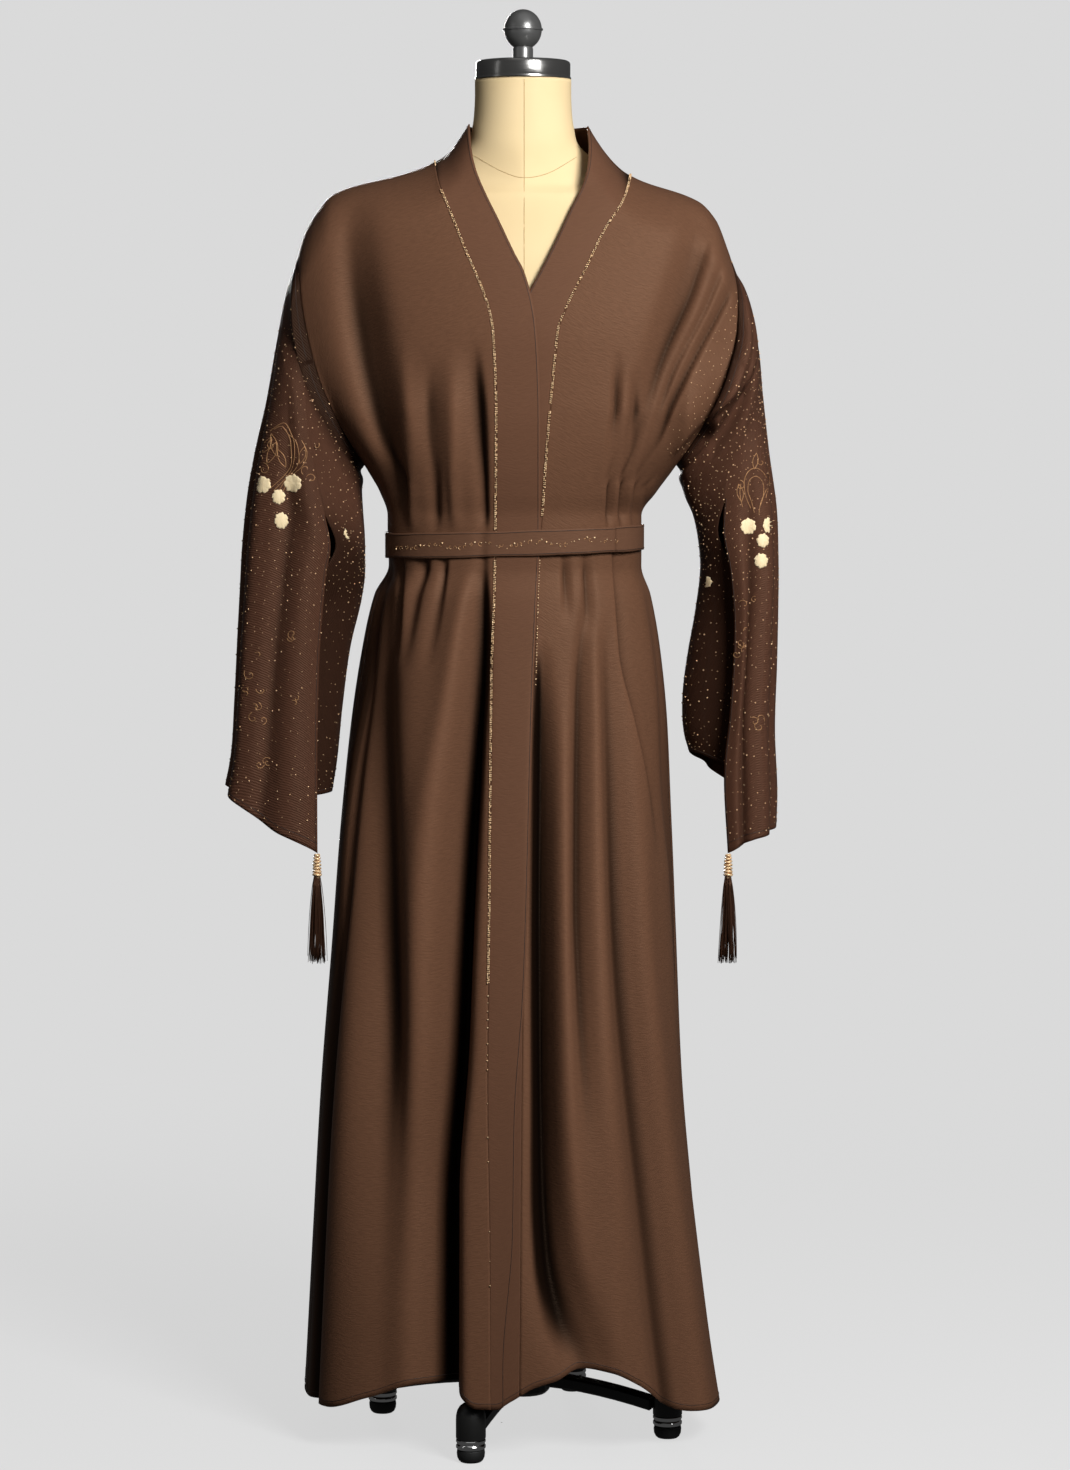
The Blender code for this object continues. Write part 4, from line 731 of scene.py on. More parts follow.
# %% Threads
def tube(path, radius, sides=3):
    """Points and faces of a thin tube along a path: a small polygon at each point, in planes across Z."""
    path = np.asarray(path, float)
    radius = np.broadcast_to(np.asarray(radius, float), (len(path),))
    turn = np.radians(np.arange(sides) * 360 / sides)
    ahead = np.gradient(path, axis=0)
    ahead = ahead / np.linalg.norm(ahead, axis=1, keepdims=True)
    helper = np.where(np.abs(ahead[:, 2:]) < 0.9, np.array([[0.0, 0, 1]]), np.array([[1.0, 0, 0]]))
    side_way = np.cross(ahead, helper)
    side_way = side_way / np.linalg.norm(side_way, axis=1, keepdims=True)
    up = np.cross(ahead, side_way)
    ring = (np.cos(turn)[None, :, None] * side_way[:, None] + np.sin(turn)[None, :, None] * up[:, None])
    points = (path[:, None] + ring * radius[:, None, None]).reshape(-1, 3)
    faces = []
    for k in range(len(path) - 1):
        for j in range(sides):
            n = (j + 1) % sides
            faces.append((k * sides + j, (k + 1) * sides + j, (k + 1) * sides + n, k * sides + n))
    faces.append(tuple(range(sides)))
    faces.append(tuple((len(path) - 1) * sides + j for j in reversed(range(sides))))
    return (points + POLE) * MM, faces


# %% [markdown]
# ## Finishes of the cloth
# Satin crepe is woven from hard-twisted yarn, which pulls the face into fine, mostly crosswise ripples and
# gives it a soft, silky sheen instead of a clear shine.  Dyed dark brown it reflects about a tenth of the
# light.  The ripples are noise stretched across the cloth: about 1.2 mm high and 7 mm long on the real one.
# They are drawn half as coarse again here, because finer ones would vanish in the render.

# %% Crepe
def crepe(name, colour, ripple, tone_spread, ribs=0.0, folds=True):
    """Woven cloth: ripples along U from stretched noise, broad unevenness under them, and where asked fine
    slanting ribs, the twill side of the cloth, from a wave turned by 60 degrees."""
    material, shader = start(name, colour, 0.5, Specular_IOR_Level=0.16,
                             Specular_Tint=linear("#e8bfa0"))
    place = add(material, "ShaderNodeTexCoord").outputs["UV"]
    ripples = add(material, "ShaderNodeMapping", Vector=place, Scale=(110, 560, 1))
    fine = add(material, "ShaderNodeTexNoise", {"noise_dimensions": "2D"}, Vector=ripples.outputs[0],
               Scale=1.0, Detail=3.0, Roughness=0.6, Distortion=0.4)
    broad = add(material, "ShaderNodeMapping", Vector=place, Scale=(16, 34, 1))
    slow = add(material, "ShaderNodeTexNoise", {"noise_dimensions": "2D"}, Vector=broad.outputs[0], Scale=1.0,
               Detail=2.0)
    height = add(material, "ShaderNodeMath", {"operation": "MULTIPLY_ADD"}, i0=slow.outputs[0], i1=0.35,
                 i2=fine.outputs[0]).outputs[0]
    if ribs:
        slant = add(material, "ShaderNodeMapping", Vector=place, Rotation=(0, 0, math.radians(60)))
        wave = add(material, "ShaderNodeTexWave", Vector=slant.outputs[0], Scale=140.0, Distortion=1.2,
                   Detail=1.0, Detail_Scale=2.0)
        height = add(material, "ShaderNodeMath", {"operation": "MULTIPLY_ADD"}, i0=wave.outputs[0], i1=ribs,
                     i2=height).outputs[0]
    bump = add(material, "ShaderNodeBump", Strength=ripple, Distance=0.0012, Height=height)
    level = ranged(material, fine.outputs[0], (1 - tone_spread, 1 + tone_spread), (0.3, 0.7))
    tone = add(material, "ShaderNodeMix", {"data_type": "RGBA", "blend_type": "MULTIPLY"})
    tone.inputs[0].default_value = 1.0
    tone.inputs[MIX_A].default_value = linear(colour)
    # Painted shade: the openness attribute multiplies the base colour, darker in fold troughs and a little
    # lighter on crests (painted highlight)
    if folds:
        openness = add(material, "ShaderNodeAttribute", {"attribute_name": "openness"})
        level = add(material, "ShaderNodeMath", {"operation": "MULTIPLY"}, i0=level,
                    i1=openness.outputs["Fac"]).outputs[0]
    join(material, level, tone.inputs[MIX_B])
    join(material, tone.outputs[MIX_OUT], shader.inputs["Base Color"])
    join(material, bump.outputs[0], shader.inputs["Normal"])
    return material


brown_crepe = crepe("satin_crepe_dark_brown", "#5e4130", 0.32, 0.08)
band_crepe = crepe("satin_crepe_band", "#5d4030", 0.2, 0.05)
belt_crepe = crepe("satin_crepe_belt", "#5e4232", 0.22, 0.05, folds=False)
beaded_crepe = crepe("crepe_twill_side_of_sleeve", "#4b3125", 0.42, 0.14, ribs=0.8)

# %% [markdown]
# ## The sewn pieces
# Two fronts, one back, two bands that run from the centre back of the neck to the hem, two sleeves.

# %% Sew the cloak
BAND_CLOTH = 1.6
UPPER, PER_ROW, NECK_PART, STRIPS = 72, 10, 24, 20
BACK_UPPER, BACK_PER_ROW = 54, 8
fronts = {side: half_panel(side, -1, 108, 0, UPPER, PER_ROW) for side in (-1, 1)}
back_right = half_panel(-1, 1, 70, 20, BACK_UPPER, BACK_PER_ROW)
back_left = half_panel(1, 1, 70, 20, BACK_UPPER, BACK_PER_ROW)
back = np.concatenate([back_right[:, ::-1], back_left[:, 1:]], axis=1)
back_fine = {side: half_panel(side, 1, 108, NECK_PART, UPPER, PER_ROW) for side in (-1, 1)}
bands = {side: band(side, back_fine[side][0, :NECK_PART], NECK_PART, STRIPS, UPPER, PER_ROW)
         for side in (-1, 1)}

for side in (-1, 1):
    grid = fronts[side]
    if side > 0:
        grid[:, :, 1] -= drape_out(grid[:, :, 0], grid[:, :, 2])
    name = SIDES[side]
    u = np.linspace(0, 1, grid.shape[1])[None, :]
    # Painted shade in the base colour along the outer side of each front panel below the waist: up to six
    # tenths darker on the right, three tenths on the left
    beside = ease(u, 0.865, 0.885) if side < 0 else 0.5 * ease(u, 0.9, 1.0)
    side_shade = 1 - 0.6 * beside * (1 - ease(grid[..., 2], 880, 980))
    cloth("front_panel_" + name, grid, brown_crepe, "front_" + name, flip=side < 0,
          shade=side_shade)
    cloth("front_band_" + name, bands[side], band_crepe, "band_" + name, flip=side > 0,
          thickness=BAND_CLOTH)
# The back panel's edge shows from the front as a strip in the shade of the front panel
edge = 1 - ease(np.arange(back.shape[1])[None, :], 5, 15) + 0 * back[..., 2]
strip_shade = 1 - 0.62 * edge * (1 - ease(back[..., 2], 860, 980))
cloth("back_panel", back, brown_crepe, "back", flip=True, shade=strip_shade)

# %% Sleeves
sleeves = {}
SLIT_ROW = {}
for side in (-1, 1):
    name = SIDES[side]
    loop = np.concatenate([fronts[side][:UPPER + 1, -1], back_fine[side][UPPER - 1:0:-1, -1]])
    rings, turn = sleeve_rings(side, loop)
    steps = [6] + [13] * (len(rings) - 2)
    grid = hermite_rows(rings, steps)
    joined = sum(steps[:SLIT_RING]) + 1
    SLIT_ROW[side] = joined
    share = np.linspace(0, 1, len(grid))[:, None]
    out = 0
    for fold_side, at_top, at_cuff, width, size, begin in SLEEVE_FOLDS:
        if fold_side == side:
            path = at_top + (at_cuff - at_top) * share
            away = (turn[None, :] - path + 180) % 360 - 180
            out = out + size * ease(share, begin - 0.15, begin + 0.2) * np.exp(-(away / width) ** 2)
    grid = grid + normals_of(grid) * side * out[..., None]
    if side > 0:
        facing = ease(np.sin(np.radians(turn)), 0.1, 0.5)[None, :]
        grid[:, :, 1] -= drape_out(grid[:, :, 0], grid[:, :, 2]) * facing
    sleeves[side] = grid
    from_seam = np.linalg.norm(np.diff(grid, axis=0), axis=-1).cumsum(axis=0)
    from_seam = np.concatenate([from_seam[:1] * 0, from_seam])
    # Painted shade in the sleeve's base colour: dark at the head under the body, and up to six tenths darker on
    # the layer behind the slit from about a third of the way down
    head = 0.25 + 0.75 * ease(from_seam, *HEAD_SHADE[side])
    head = head * (1 - 0.6 * ease(-turn, 150, 190)[None, :] * ease(share, 0.3, 0.5))
    cloth("sleeve_" + name + "_cloth", grid, beaded_crepe, "sleeve_" + name,
          flip=side < 0, joined=joined, shade=head)

# %% [markdown]
# ## The belt
# A flat belt of the same cloth, folded double, lies round the waist and drops a little to the wearer's right.

# %% Belt
BELT_LOW, BELT_HEIGHT, BELT_TILT = 992.0, 28.0, 0.031
BELT_MIDDLE, BELT_OUT, BELT_CLOTH = 1006.0, 2.8, 1.6
angle = np.linspace(-180, 180, 361)[:-1][None, :]
level = np.linspace(1, 0, 15)[:, None]
belt_grid = skirt_point(angle, BELT_MIDDLE + 0 * level, BELT_OUT + 0 * level)
lean = 0.5 * np.sin(np.radians(angle * 7)) + 0.4 * np.sin(np.radians(angle * 13 + 40))
belt_grid[..., 2] = BELT_LOW + BELT_TILT * belt_grid[..., 0] + level * BELT_HEIGHT + lean * (level - 0.5)
belt_mesh = grid_mesh("belt_cloth", belt_grid, wrap=True)
belt_piece = put("belt_cloth", belt_mesh, belt_crepe)
belt_wall = belt_piece.modifiers.new("folded double", "SOLIDIFY")
belt_wall.thickness = BELT_CLOTH * MM
belt_wall.offset = -1
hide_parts("belt")

# %% [markdown]
# ## The dress form
# Under the cloak stands a limbless form in cream jersey.  Only its neck, its shoulders and the V below them
# show, with a seam round the base of the neck and one down the middle.

# %% Jersey
def jersey():
    material, shader = start("cream_jersey_over_foam", "#f7e6c2", 0.85, Specular_IOR_Level=0.1)
    place = add(material, "ShaderNodeTexCoord").outputs["Object"]
    knit = add(material, "ShaderNodeMapping", Vector=place, Scale=(900, 900, 650))
    noise = add(material, "ShaderNodeTexNoise", Vector=knit.outputs[0], Scale=1.0, Detail=2.0)
    bump = add(material, "ShaderNodeBump", Strength=0.15, Distance=0.0004, Height=noise.outputs[0])
    slow = add(material, "ShaderNodeTexNoise", Vector=place, Scale=16.0, Detail=2.0)
    tone = two_tones(material, slow.outputs[0], "#e6cfa3", "#d9c092")
    join(material, tone, shader.inputs["Base Color"])
    join(material, bump.outputs[0], shader.inputs["Normal"])
    return material


form_jersey = jersey()
FORM_RINGS = (
    (1516, 53.4, 50, 50, 2.0), (1492, 53.6, 51, 51, 2.0), (1463, 56.5, 53, 53, 2.0), (1444, 62, 56, 54, 1.9),
    (1431, 76, 58, 56, 1.6), (1418, 96, 60, 58, 1.4),
)
FORM_SHOULDER = ((128, 63, 60, 1.3), (146, 66, 63, 1.3), (164, 70, 66, 1.4), (180, 74, 70, 1.5))
FORM_TORSO = (
    (1355, 186, 80, 77, 1.7), (1290, 184, 91, 83, 2.0), (1230, 170, 98, 84, 2.2), (1160, 150, 97, 82, 2.3),
    (1090, 130, 92, 80, 2.3), (1006, 120, 84, 78, 2.3), (930, 130, 78, 82, 2.3), (850, 136, 66, 84, 2.3),
    (760, 136, 60, 84, 2.3), (715, 132, 58, 80, 2.3),
)
FORM_CLEAR = 2.6


def form_ring(z, half, front, depth_back, fullness, turn):
    across = np.sign(np.sin(turn)) * np.abs(np.sin(turn)) ** (2 / fullness)
    ahead = -np.sign(np.cos(turn)) * np.abs(np.cos(turn)) ** (2 / fullness)
    depth = np.where(ahead < 0, front, depth_back)
    return np.stack([half * across, depth * ahead, z + 0 * turn], -1)


form_rows = list(FORM_RINGS)
for half, front, depth_back, fullness in FORM_SHOULDER:
    line = min(float(shoulder(np.array(float(half)))), float(shoulder(np.array(-float(half)))))
    form_rows.append((line - FORM_CLEAR, half, front, depth_back, fullness))
form_rows += list(FORM_TORSO)
turn = np.radians(np.arange(120) * 3.0)
rings = np.array([form_ring(*row, turn) for row in form_rows])
form_grid = hermite_rows(rings, [6] * (len(rings) - 1))
lid_top = form_grid[:1] * np.array([0.02, 0.02, 1.0])
lid_low = form_grid[-1:] * np.array([0.02, 0.02, 1.0])
form_piece = put("form_jersey_skin", grid_mesh("form_jersey_skin",
                                               np.concatenate([lid_top, form_grid, lid_low]), wrap=True),
                 form_jersey)
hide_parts("form_body")


# %% Turned metal
def lathe(name, profile, material, node, place=(0, 0), steps=64):
    """Solid of revolution: the profile, radius and height from the top down, turned round its axis."""
    turn = np.radians(np.arange(steps) * 360 / steps)[None, :]
    radius = np.array([max(r, 0.01) for r, _ in profile], float)[:, None]
    height = np.array([z for _, z in profile], float)[:, None]
    x = place[0] + radius * np.sin(turn)
    y = place[1] - radius * np.cos(turn)
    grid = np.stack([x, y, height + 0 * turn], -1)
    piece = put(name, grid_mesh(name, grid, wrap=True), material)
    piece.data.set_sharp_from_angle(angle=math.radians(35))
    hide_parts(node)
    return piece


def metal(name, colour, roughness, streak=0.0, metallic=1.0):
    """Metal with fine marks: noise drawn out round the turned piece sets its roughness."""
    material, shader = start(name, colour, roughness, Metallic=metallic)
    place = add(material, "ShaderNodeTexCoord").outputs["Object"]
    grain = (60, 60, 2600) if streak else (300, 300, 300)
    drawn = add(material, "ShaderNodeMapping", Vector=place, Scale=grain)
    noise = add(material, "ShaderNodeTexNoise", Vector=drawn.outputs[0], Scale=1.0, Detail=3.0)
    spread = ranged(material, noise.outputs[0], (max(roughness - 0.08, 0.04), roughness + 0.12))
    join(material, spread, shader.inputs["Roughness"])
    bump = add(material, "ShaderNodeBump", Strength=0.08 + streak, Distance=0.0002, Height=noise.outputs[0])
    join(material, bump.outputs[0], shader.inputs["Normal"])
    return material


cap_steel = metal("brushed_steel_cap", "#868583", 0.2, 0.1, 0.9)
ball_metal = metal("dark_satin_metal", "#70706f", 0.3, 0.0, 0.65)
chrome_plate = metal("chrome_plate_ring", "#e6e6e6", 0.08)
black_coat = metal("black_powder_coat", "#191918", 0.38, metallic=0.0)
foot_rubber = metal("black_rubber_glide", "#131313", 0.62, metallic=0.0)

# Profiles: radius and height
CAP = ((0, 1537), (46, 1537), (49.5, 1536.6), (51.6, 1535.4), (52.5, 1533.5), (52.5, 1521), (52.2, 1519.4),
       (53.1, 1518.8), (53.3, 1518), (53.3, 1516.5), (0, 1516.5))
BALL_RADIUS, BALL_HEIGHT, BALL_MIDDLE = 20.9, 22.2, 1571.3
BALL_RIM = [(20.9, 1572.6), (22.1, 1572.3), (22.3, 1571.3), (22.1, 1570.4), (20.9, 1570.1)]
BALL_STEM = [(11.2, 1550), (11.2, 1539.2), (12.2, 1538.2), (12.2, 1537.4), (0, 1537.4)]
lathe("neck_cap_turned_steel", CAP, cap_steel, "neck_cap", steps=96)
arc = np.radians(np.linspace(0, 150, 31))
ball = [(BALL_RADIUS * math.sin(t), BALL_MIDDLE + BALL_HEIGHT * math.cos(t)) for t in arc]
upper_ball = [point for point in ball if point[1] > BALL_MIDDLE + 2.1]
lower_ball = [point for point in ball if point[1] < BALL_MIDDLE - 2.1]
lathe("finial_ball", upper_ball + BALL_RIM + lower_ball + BALL_STEM, ball_metal, "finial")

# %% [markdown]
# ## The stand
# A pole drops from the form to a hub with four arched legs.  Each foot is a domed housing over a ring of
# chrome and a rubber glide.

# %% Stand
FOOT_REACH, LEG_TURN = 172.0, math.radians(19.4)
# Parts of a foot: name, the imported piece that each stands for, finish and slot, profile of radius and height
FOOT_PARTS = (
    ("foot_dome_", "foot_housing_", black_coat, "black_metal",
     ((0, 66), (5, 65.6), (9, 64.2), (12.4, 61.4), (15, 57), (16.3, 51.5), (16.5, 46), (16.5, 27), (16, 25.8),
      (0, 25.8))),
    ("foot_chrome_", "foot_ring_", chrome_plate, "chrome",
     ((0, 25.4), (15.6, 25.4), (16.3, 24.6), (16.4, 22.6), (15.6, 21.2), (15, 20.4), (15.6, 19.6),
      (16.4, 18.2),
      (16.3, 15.9), (15.6, 14.9), (0, 14.9))),
    ("foot_rubber_", "foot_glide_", foot_rubber, "rubber",
     ((0, 14.5), (13.6, 14.5), (15.2, 13), (15.6, 10), (15.1, 5.4), (13.4, 1.8), (11.5, 0.2), (0, 0))),
)
for k in range(4):
    angle_k = -LEG_TURN + k * math.pi / 2
    spot = (FOOT_REACH * math.cos(angle_k), FOOT_REACH * math.sin(angle_k))
    number = str(k + 1)
    for shown, node, finish, slot, profile in FOOT_PARTS:
        lathe(shown + number, profile, finish, node + number, spot, 48)
for node in ("pole", "hub", "leg_1", "leg_2", "leg_3", "leg_4"):
    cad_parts[node].data.materials.clear()
    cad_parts[node].data.materials.append(black_coat)


# %% [markdown]
# ## Gold trim
# Along each band's seam runs a line of small gold beads, close together above and sparser towards the hem.

# %% Bead lines
def bead_shape():
    """A squat bead of twelve corners: two rings of five and two poles."""
    points = [(0, 0, 1.0)]
    for z, lift in ((0.45, 0), (-0.45, 36)):
        for k in range(5):
            a = math.radians(72 * k + lift)
            points.append((0.9 * math.cos(a), 0.9 * math.sin(a), z))
    points.append((0, 0, -1.0))
    faces = []
    for k in range(5):
        n = (k + 1) % 5
        faces += [(0, 1 + k, 1 + n), (1 + k, 6 + k, 1 + n), (1 + n, 6 + k, 6 + n), (11, 6 + n, 6 + k)]
    return np.array(points), faces


BEAD_POINTS, BEAD_FACES = bead_shape()


def beads(name, places, sizes, material):
    """Many beads in one mesh: each is the bead shape scaled and moved to its place, in millimetres."""
    places = np.asarray(places, float)
    sizes = np.asarray(sizes, float)[:, None, None]
    points = (BEAD_POINTS[None] * sizes + places[:, None, :] + POLE) * MM
    first = (np.arange(len(places)) * len(BEAD_POINTS))[:, None, None]
    faces = (np.array(BEAD_FACES)[None] + first).reshape(-1, 3)
    mesh = bpy.data.meshes.new(name)
    mesh.from_pydata(points.reshape(-1, 3).tolist(), [], faces.tolist())
    piece = put(name, mesh, material)
    print(name, len(places), "beads")
    return piece


def along_path(path, spacing, rng, jitter=0.25):
    """Points along a path, at the spacing with some unevenness."""
    length = np.concatenate([[0], np.cumsum(np.linalg.norm(np.diff(path, axis=0), axis=1))])
    at = np.arange(spacing / 2, length[-1], spacing)
    at = at + (rng.random(len(at)) - 0.5) * spacing * jitter * 2
    return np.stack([np.interp(at, length, path[:, k]) for k in range(3)], -1)


def gold(name, colour, shade, metallic=0.45, roughness=0.32):
    """Gilt glass and metal thread: partly a metal, so that it stays bright between two highlights."""
    material, shader = start(name, colour, roughness, Metallic=metallic)
    place = add(material, "ShaderNodeTexCoord").outputs["Object"]
    noise = add(material, "ShaderNodeTexNoise", Vector=place, Scale=420.0, Detail=1.0)
    join(material, two_tones(material, noise.outputs[0], colour, shade), shader.inputs["Base Color"])
    return material


gold_bead = gold("gilt_glass_beads", "#ffe6bc", "#c8935a", 0.3)
sparse_bead = gold("gilt_beads_on_sleeves", "#ffdcae", "#c08a5c", 0.3)
gold_thread = gold("gilt_couching_thread", "#c79a6a", "#8f6440", roughness=0.45)
rng = np.random.default_rng(7)
outward = {}
for side in (-1, 1):
    outward["front", side] = normals_of(fronts[side]) * side
    outward["band", side] = normals_of(bands[side]) * -side
    outward["sleeve", side] = normals_of(sleeves[side]) * side

# Stretches of each band's bead line: height from and to, spacing, and a step aside, which takes the left line
# clear of the band above it
TRIM_LIFT = 1.2
TRIM = {
    -1: ((520, 1394, 2.1, (0, 0, 0)), (420, 520, 9.0, (0, 0, 0)), (180, 420, 34.0, (0, 0, 0)),
         (1419, 1500, 3.0, (0, 0, 0))),
    1: ((1032, 1500, 2.3, (0, 0, 0)), (850, 994, 3.2, (2.2, -1.6, 0))),
}
TWIN_LINE, DENSE = (-0.7, 0.7), 3
for side in (-1, 1):
    seam = bands[side][NECK_PART:, 0] + outward["band", side][NECK_PART:, 0] * TRIM_LIFT
    z = seam[:, 2]
    places, sizes = [], []
    for low, high, spacing, aside in TRIM[side]:
        path = seam[(z > low) & (z <= high)] + np.array(aside)
        for row in (TWIN_LINE if spacing < DENSE else (0,)):
            some = along_path(path, spacing, rng)
            keep = rng.random(len(some)) < 0.86
            places.append(some[keep] + np.array([row, 0, 0]))
            sizes.append(rng.uniform(0.55, 1.0, keep.sum()))
    beads("trim_" + SIDES[side], np.concatenate(places), np.concatenate(sizes), gold_bead)

# %% [markdown]
# ## Beads strewn over the sleeves
# The sleeve cloth is sewn with tiny gilt beads, about 10 mm apart and thinning out towards the shoulder.  They
# are set on the sheet by its own rows and columns, each moved a little at random, as a hand would place them.

# %% Beads on a sheet
def on_grid(grid, normal, row, column, lift):
    """Points at fractional rows and columns: the four corners of the square weighted by nearness."""
    r = np.clip(row.astype(int), 0, grid.shape[0] - 2)
    c = np.clip(column.astype(int), 0, grid.shape[1] - 2)
    t, u = (row - r)[:, None], (column - c)[:, None]
    mix = [(grid + normal * lift)[r + a, c + b] * (t if a else 1 - t) * (u if b else 1 - u)
           for a in (0, 1) for b in (0, 1)]
    return sum(mix)


def strew(grid, normal, rng, apart=10.5):
    """A lattice of places, shaken by up to four tenths of its spacing."""
    tall = np.linalg.norm(np.diff(grid, axis=0), axis=-1).mean()
    wide = np.linalg.norm(np.diff(grid, axis=1), axis=-1).mean()
    rows = np.arange(1.0, grid.shape[0] - 2, apart / tall)
    columns = np.arange(1.0, grid.shape[1] - 2, apart / wide)
    row, column = (value.ravel() for value in np.meshgrid(rows, columns, indexing="ij"))
    row = row + rng.uniform(-0.4, 0.4, len(row)) * apart / tall
    column = column + rng.uniform(-0.4, 0.4, len(column)) * apart / wide
    return on_grid(grid, normal, np.clip(row, 0, None), np.clip(column, 0, None), 0.2)


for side in (-1, 1):
    name = SIDES[side]
    places = strew(sleeves[side], outward["sleeve", side], rng)
    keep = rng.random(len(places)) < 0.08 + 0.92 * (1 - ease(places[:, 2], 1130, 1290))
    places = places[keep]
    sizes = rng.choice([0.42, 0.62, 0.95], len(places), p=[0.5, 0.34, 0.16])
    beads("sleeve_beads_" + name, places, sizes, sparse_bead)

# The crease from the wearer's left shoulder: beads lie only outside it
DRAPE_CREASE = BODICE_FOLDS[9][1:]
upper_arm = fronts[1][:UPPER]
near = strew(upper_arm, outward["front", 1][:UPPER], rng, 10.0)
line = curve(DRAPE_CREASE, near[:, 2])
near = near[(near[:, 0] > line + 6) & (near[:, 2] < 1290) & (near[:, 2] > 1100)]
beads("beads_above_the_drape", near, rng.uniform(0.4, 0.7, len(near)), sparse_bead)


# %% [markdown]
# ## Embroidery
# Each sleeve carries a spray: looped stems in couched gilt thread and, below them, four round flowers in pale
# satin stitch, with a fifth on the layer behind the slit.  Small curls lie lower down.  A motif is drawn in
# the plane of the front and then laid on the cloth: its depth is the cloth's depth at the same place.

# %% Lay a drawing on the cloth
def lie_on(surface, x, z, lift):
    """Depth from the four nearest points of the surface, weighted by one over their squared distance."""
    x, z = np.asarray(x, float), np.asarray(z, float)
    away = (surface[None, :, 0] - x[:, None]) ** 2 + (surface[None, :, 2] - z[:, None]) ** 2
    near = np.argpartition(away, 4, axis=1)[:, :4]
    weight = 1 / (np.take_along_axis(away, near, 1) + 0.3)
    y = (surface[near, 1] * weight).sum(1) / weight.sum(1)
    return np.stack([x, y - lift, z], -1)


def bend_through(points, steps=24):
    """Smooth line through a few points of a drawing: Catmull-Rom pieces."""
    p = np.array([points[0], *points, points[-1]], float)
    t = np.linspace(0, 1, steps)[:, None]
    parts = []
    for a, b, c, d in zip(p, p[1:], p[2:], p[3:]):
        square = 2 * a - 5 * b + 4 * c - d
        cube = 3 * b - a - 3 * c + d
        parts.append(0.5 * (2 * b + (c - a) * t + square * t ** 2 + cube * t ** 3))
    return np.concatenate(parts)


def curl(x, z, size, turns, begin, hand):
    """A spiral that opens evenly: its radius grows with the angle."""
    t = np.linspace(0.15, 1, 22)
    a = begin + hand * t * turns * 2 * math.pi
    return np.stack([x + size * t * np.cos(a), z + size * t * np.sin(a)], -1)


def leaf(x, z, length, width, lean):
    """Two bows from a stalk to a point, length long and width wide, leaning by so many degrees."""
    t = np.linspace(0, 1, 12)
    bow = width / 2 * np.sin(np.pi * t)
    outline = np.concatenate([np.stack([bow, t * length], -1), np.stack([-bow, t * length], -1)[::-1]])
    c, s = math.cos(math.radians(lean)), math.sin(math.radians(lean))
    return np.stack([x + outline[:, 0] * c - outline[:, 1] * s, z + outline[:, 0] * s + outline[:, 1] * c], -1)


front_of = {}
behind_of = {}
for side in (-1, 1):
    turn = (round(2 * UPPER * SLIT_TURN / 360) - np.arange(sleeves[side].shape[1])) * 360 / (2 * UPPER)
    front_of[side] = sleeves[side][:, (turn <= 120) & (turn > -25)].reshape(-1, 3)
    behind_of[side] = sleeves[side][:, turn < -150].reshape(-1, 3)

SPRAYS = {
    -1: [bend_through(points) for points in (
        ((-279, 1065), (-263, 1080), (-256, 1092), (-256, 1110), (-258, 1122), (-266, 1133), (-275, 1130)),
        ((-276, 1062), (-259, 1080), (-253, 1094), (-252, 1112), (-256, 1126), (-264, 1137), (-280, 1128)),
        ((-270, 1062), (-261, 1076), (-250, 1088), (-247, 1100), (-250, 1116), (-258, 1124)),
        ((-266, 1060), (-257, 1077), (-243, 1090), (-238, 1104), (-244, 1118)),
    )] + [leaf(-283, 1092, 26, 9, -24), leaf(-288, 1104, 20, 8, -30), leaf(-272, 1100, 26, 8, 14),
          leaf(-262, 1088, 22, 7, 24), leaf(-246, 1092, 20, 7, -16), curl(-287, 1086, 7, 1.2, 0.4, 1),
          curl(-278, 1112, 6, 1.1, 2.0, -1), curl(-292, 1098, 5, 1.2, 1.0, 1)],
    1: [bend_through(points) for points in (
        ((252, 1043), (246, 1058), (245, 1074), (250, 1084), (259, 1087), (268, 1080), (272, 1068),
         (269, 1054)),
        ((256, 1038), (253, 1050), (249, 1062), (251, 1074), (259, 1078), (266, 1070), (266, 1056),
         (262, 1044)),
        ((261, 1036), (263, 1048), (268, 1060), (274, 1072), (272, 1084)),
        ((243, 1044), (240, 1058), (241, 1070)),
    )] + [leaf(242, 1050, 20, 7, 10), leaf(256, 1086, 18, 6, -8), curl(240, 1068, 6, 1.1, 1.0, 1),
          curl(264, 1094, 5, 1.0, 2.2, -1)],
}
# Small curls: side, middle X and height, spread across and down, how many
CURLS = ((-1, -299, 838, 10, 42, 9), (-1, -257, 831, 8, 6, 2), (-1, -283, 762, 15, 5, 3),
         (1, 242, 888, 6, 24, 5), (1, 256, 806, 8, 8, 3), (-1, -235, 1090, 8, 30, 3),
         (-1, -262, 900, 12, 20, 2),
         (1, 252, 930, 8, 16, 2))
for side in (-1, 1):
    name = SIDES[side]
    lines = list(SPRAYS[side])
    for curl_side, x, z, across, down, count in CURLS:
        for _ in range(count):
            if curl_side == side:
                lines.append(curl(x + rng.uniform(-across, across), z + rng.uniform(-down, down),
                                  rng.uniform(3.5, 7), rng.uniform(0.6, 1.3), rng.uniform(0, 6.3),
                                  rng.choice([-1, 1])))
    threads = [tube(lie_on(front_of[side], line[:, 0], line[:, 1], 0.25), 0.42, 4) for line in lines]
    merged("embroidered_stems_" + name, threads, gold_thread)

# %% [markdown]
# A flower is a low dome with a ragged edge, as padded satin stitch has.

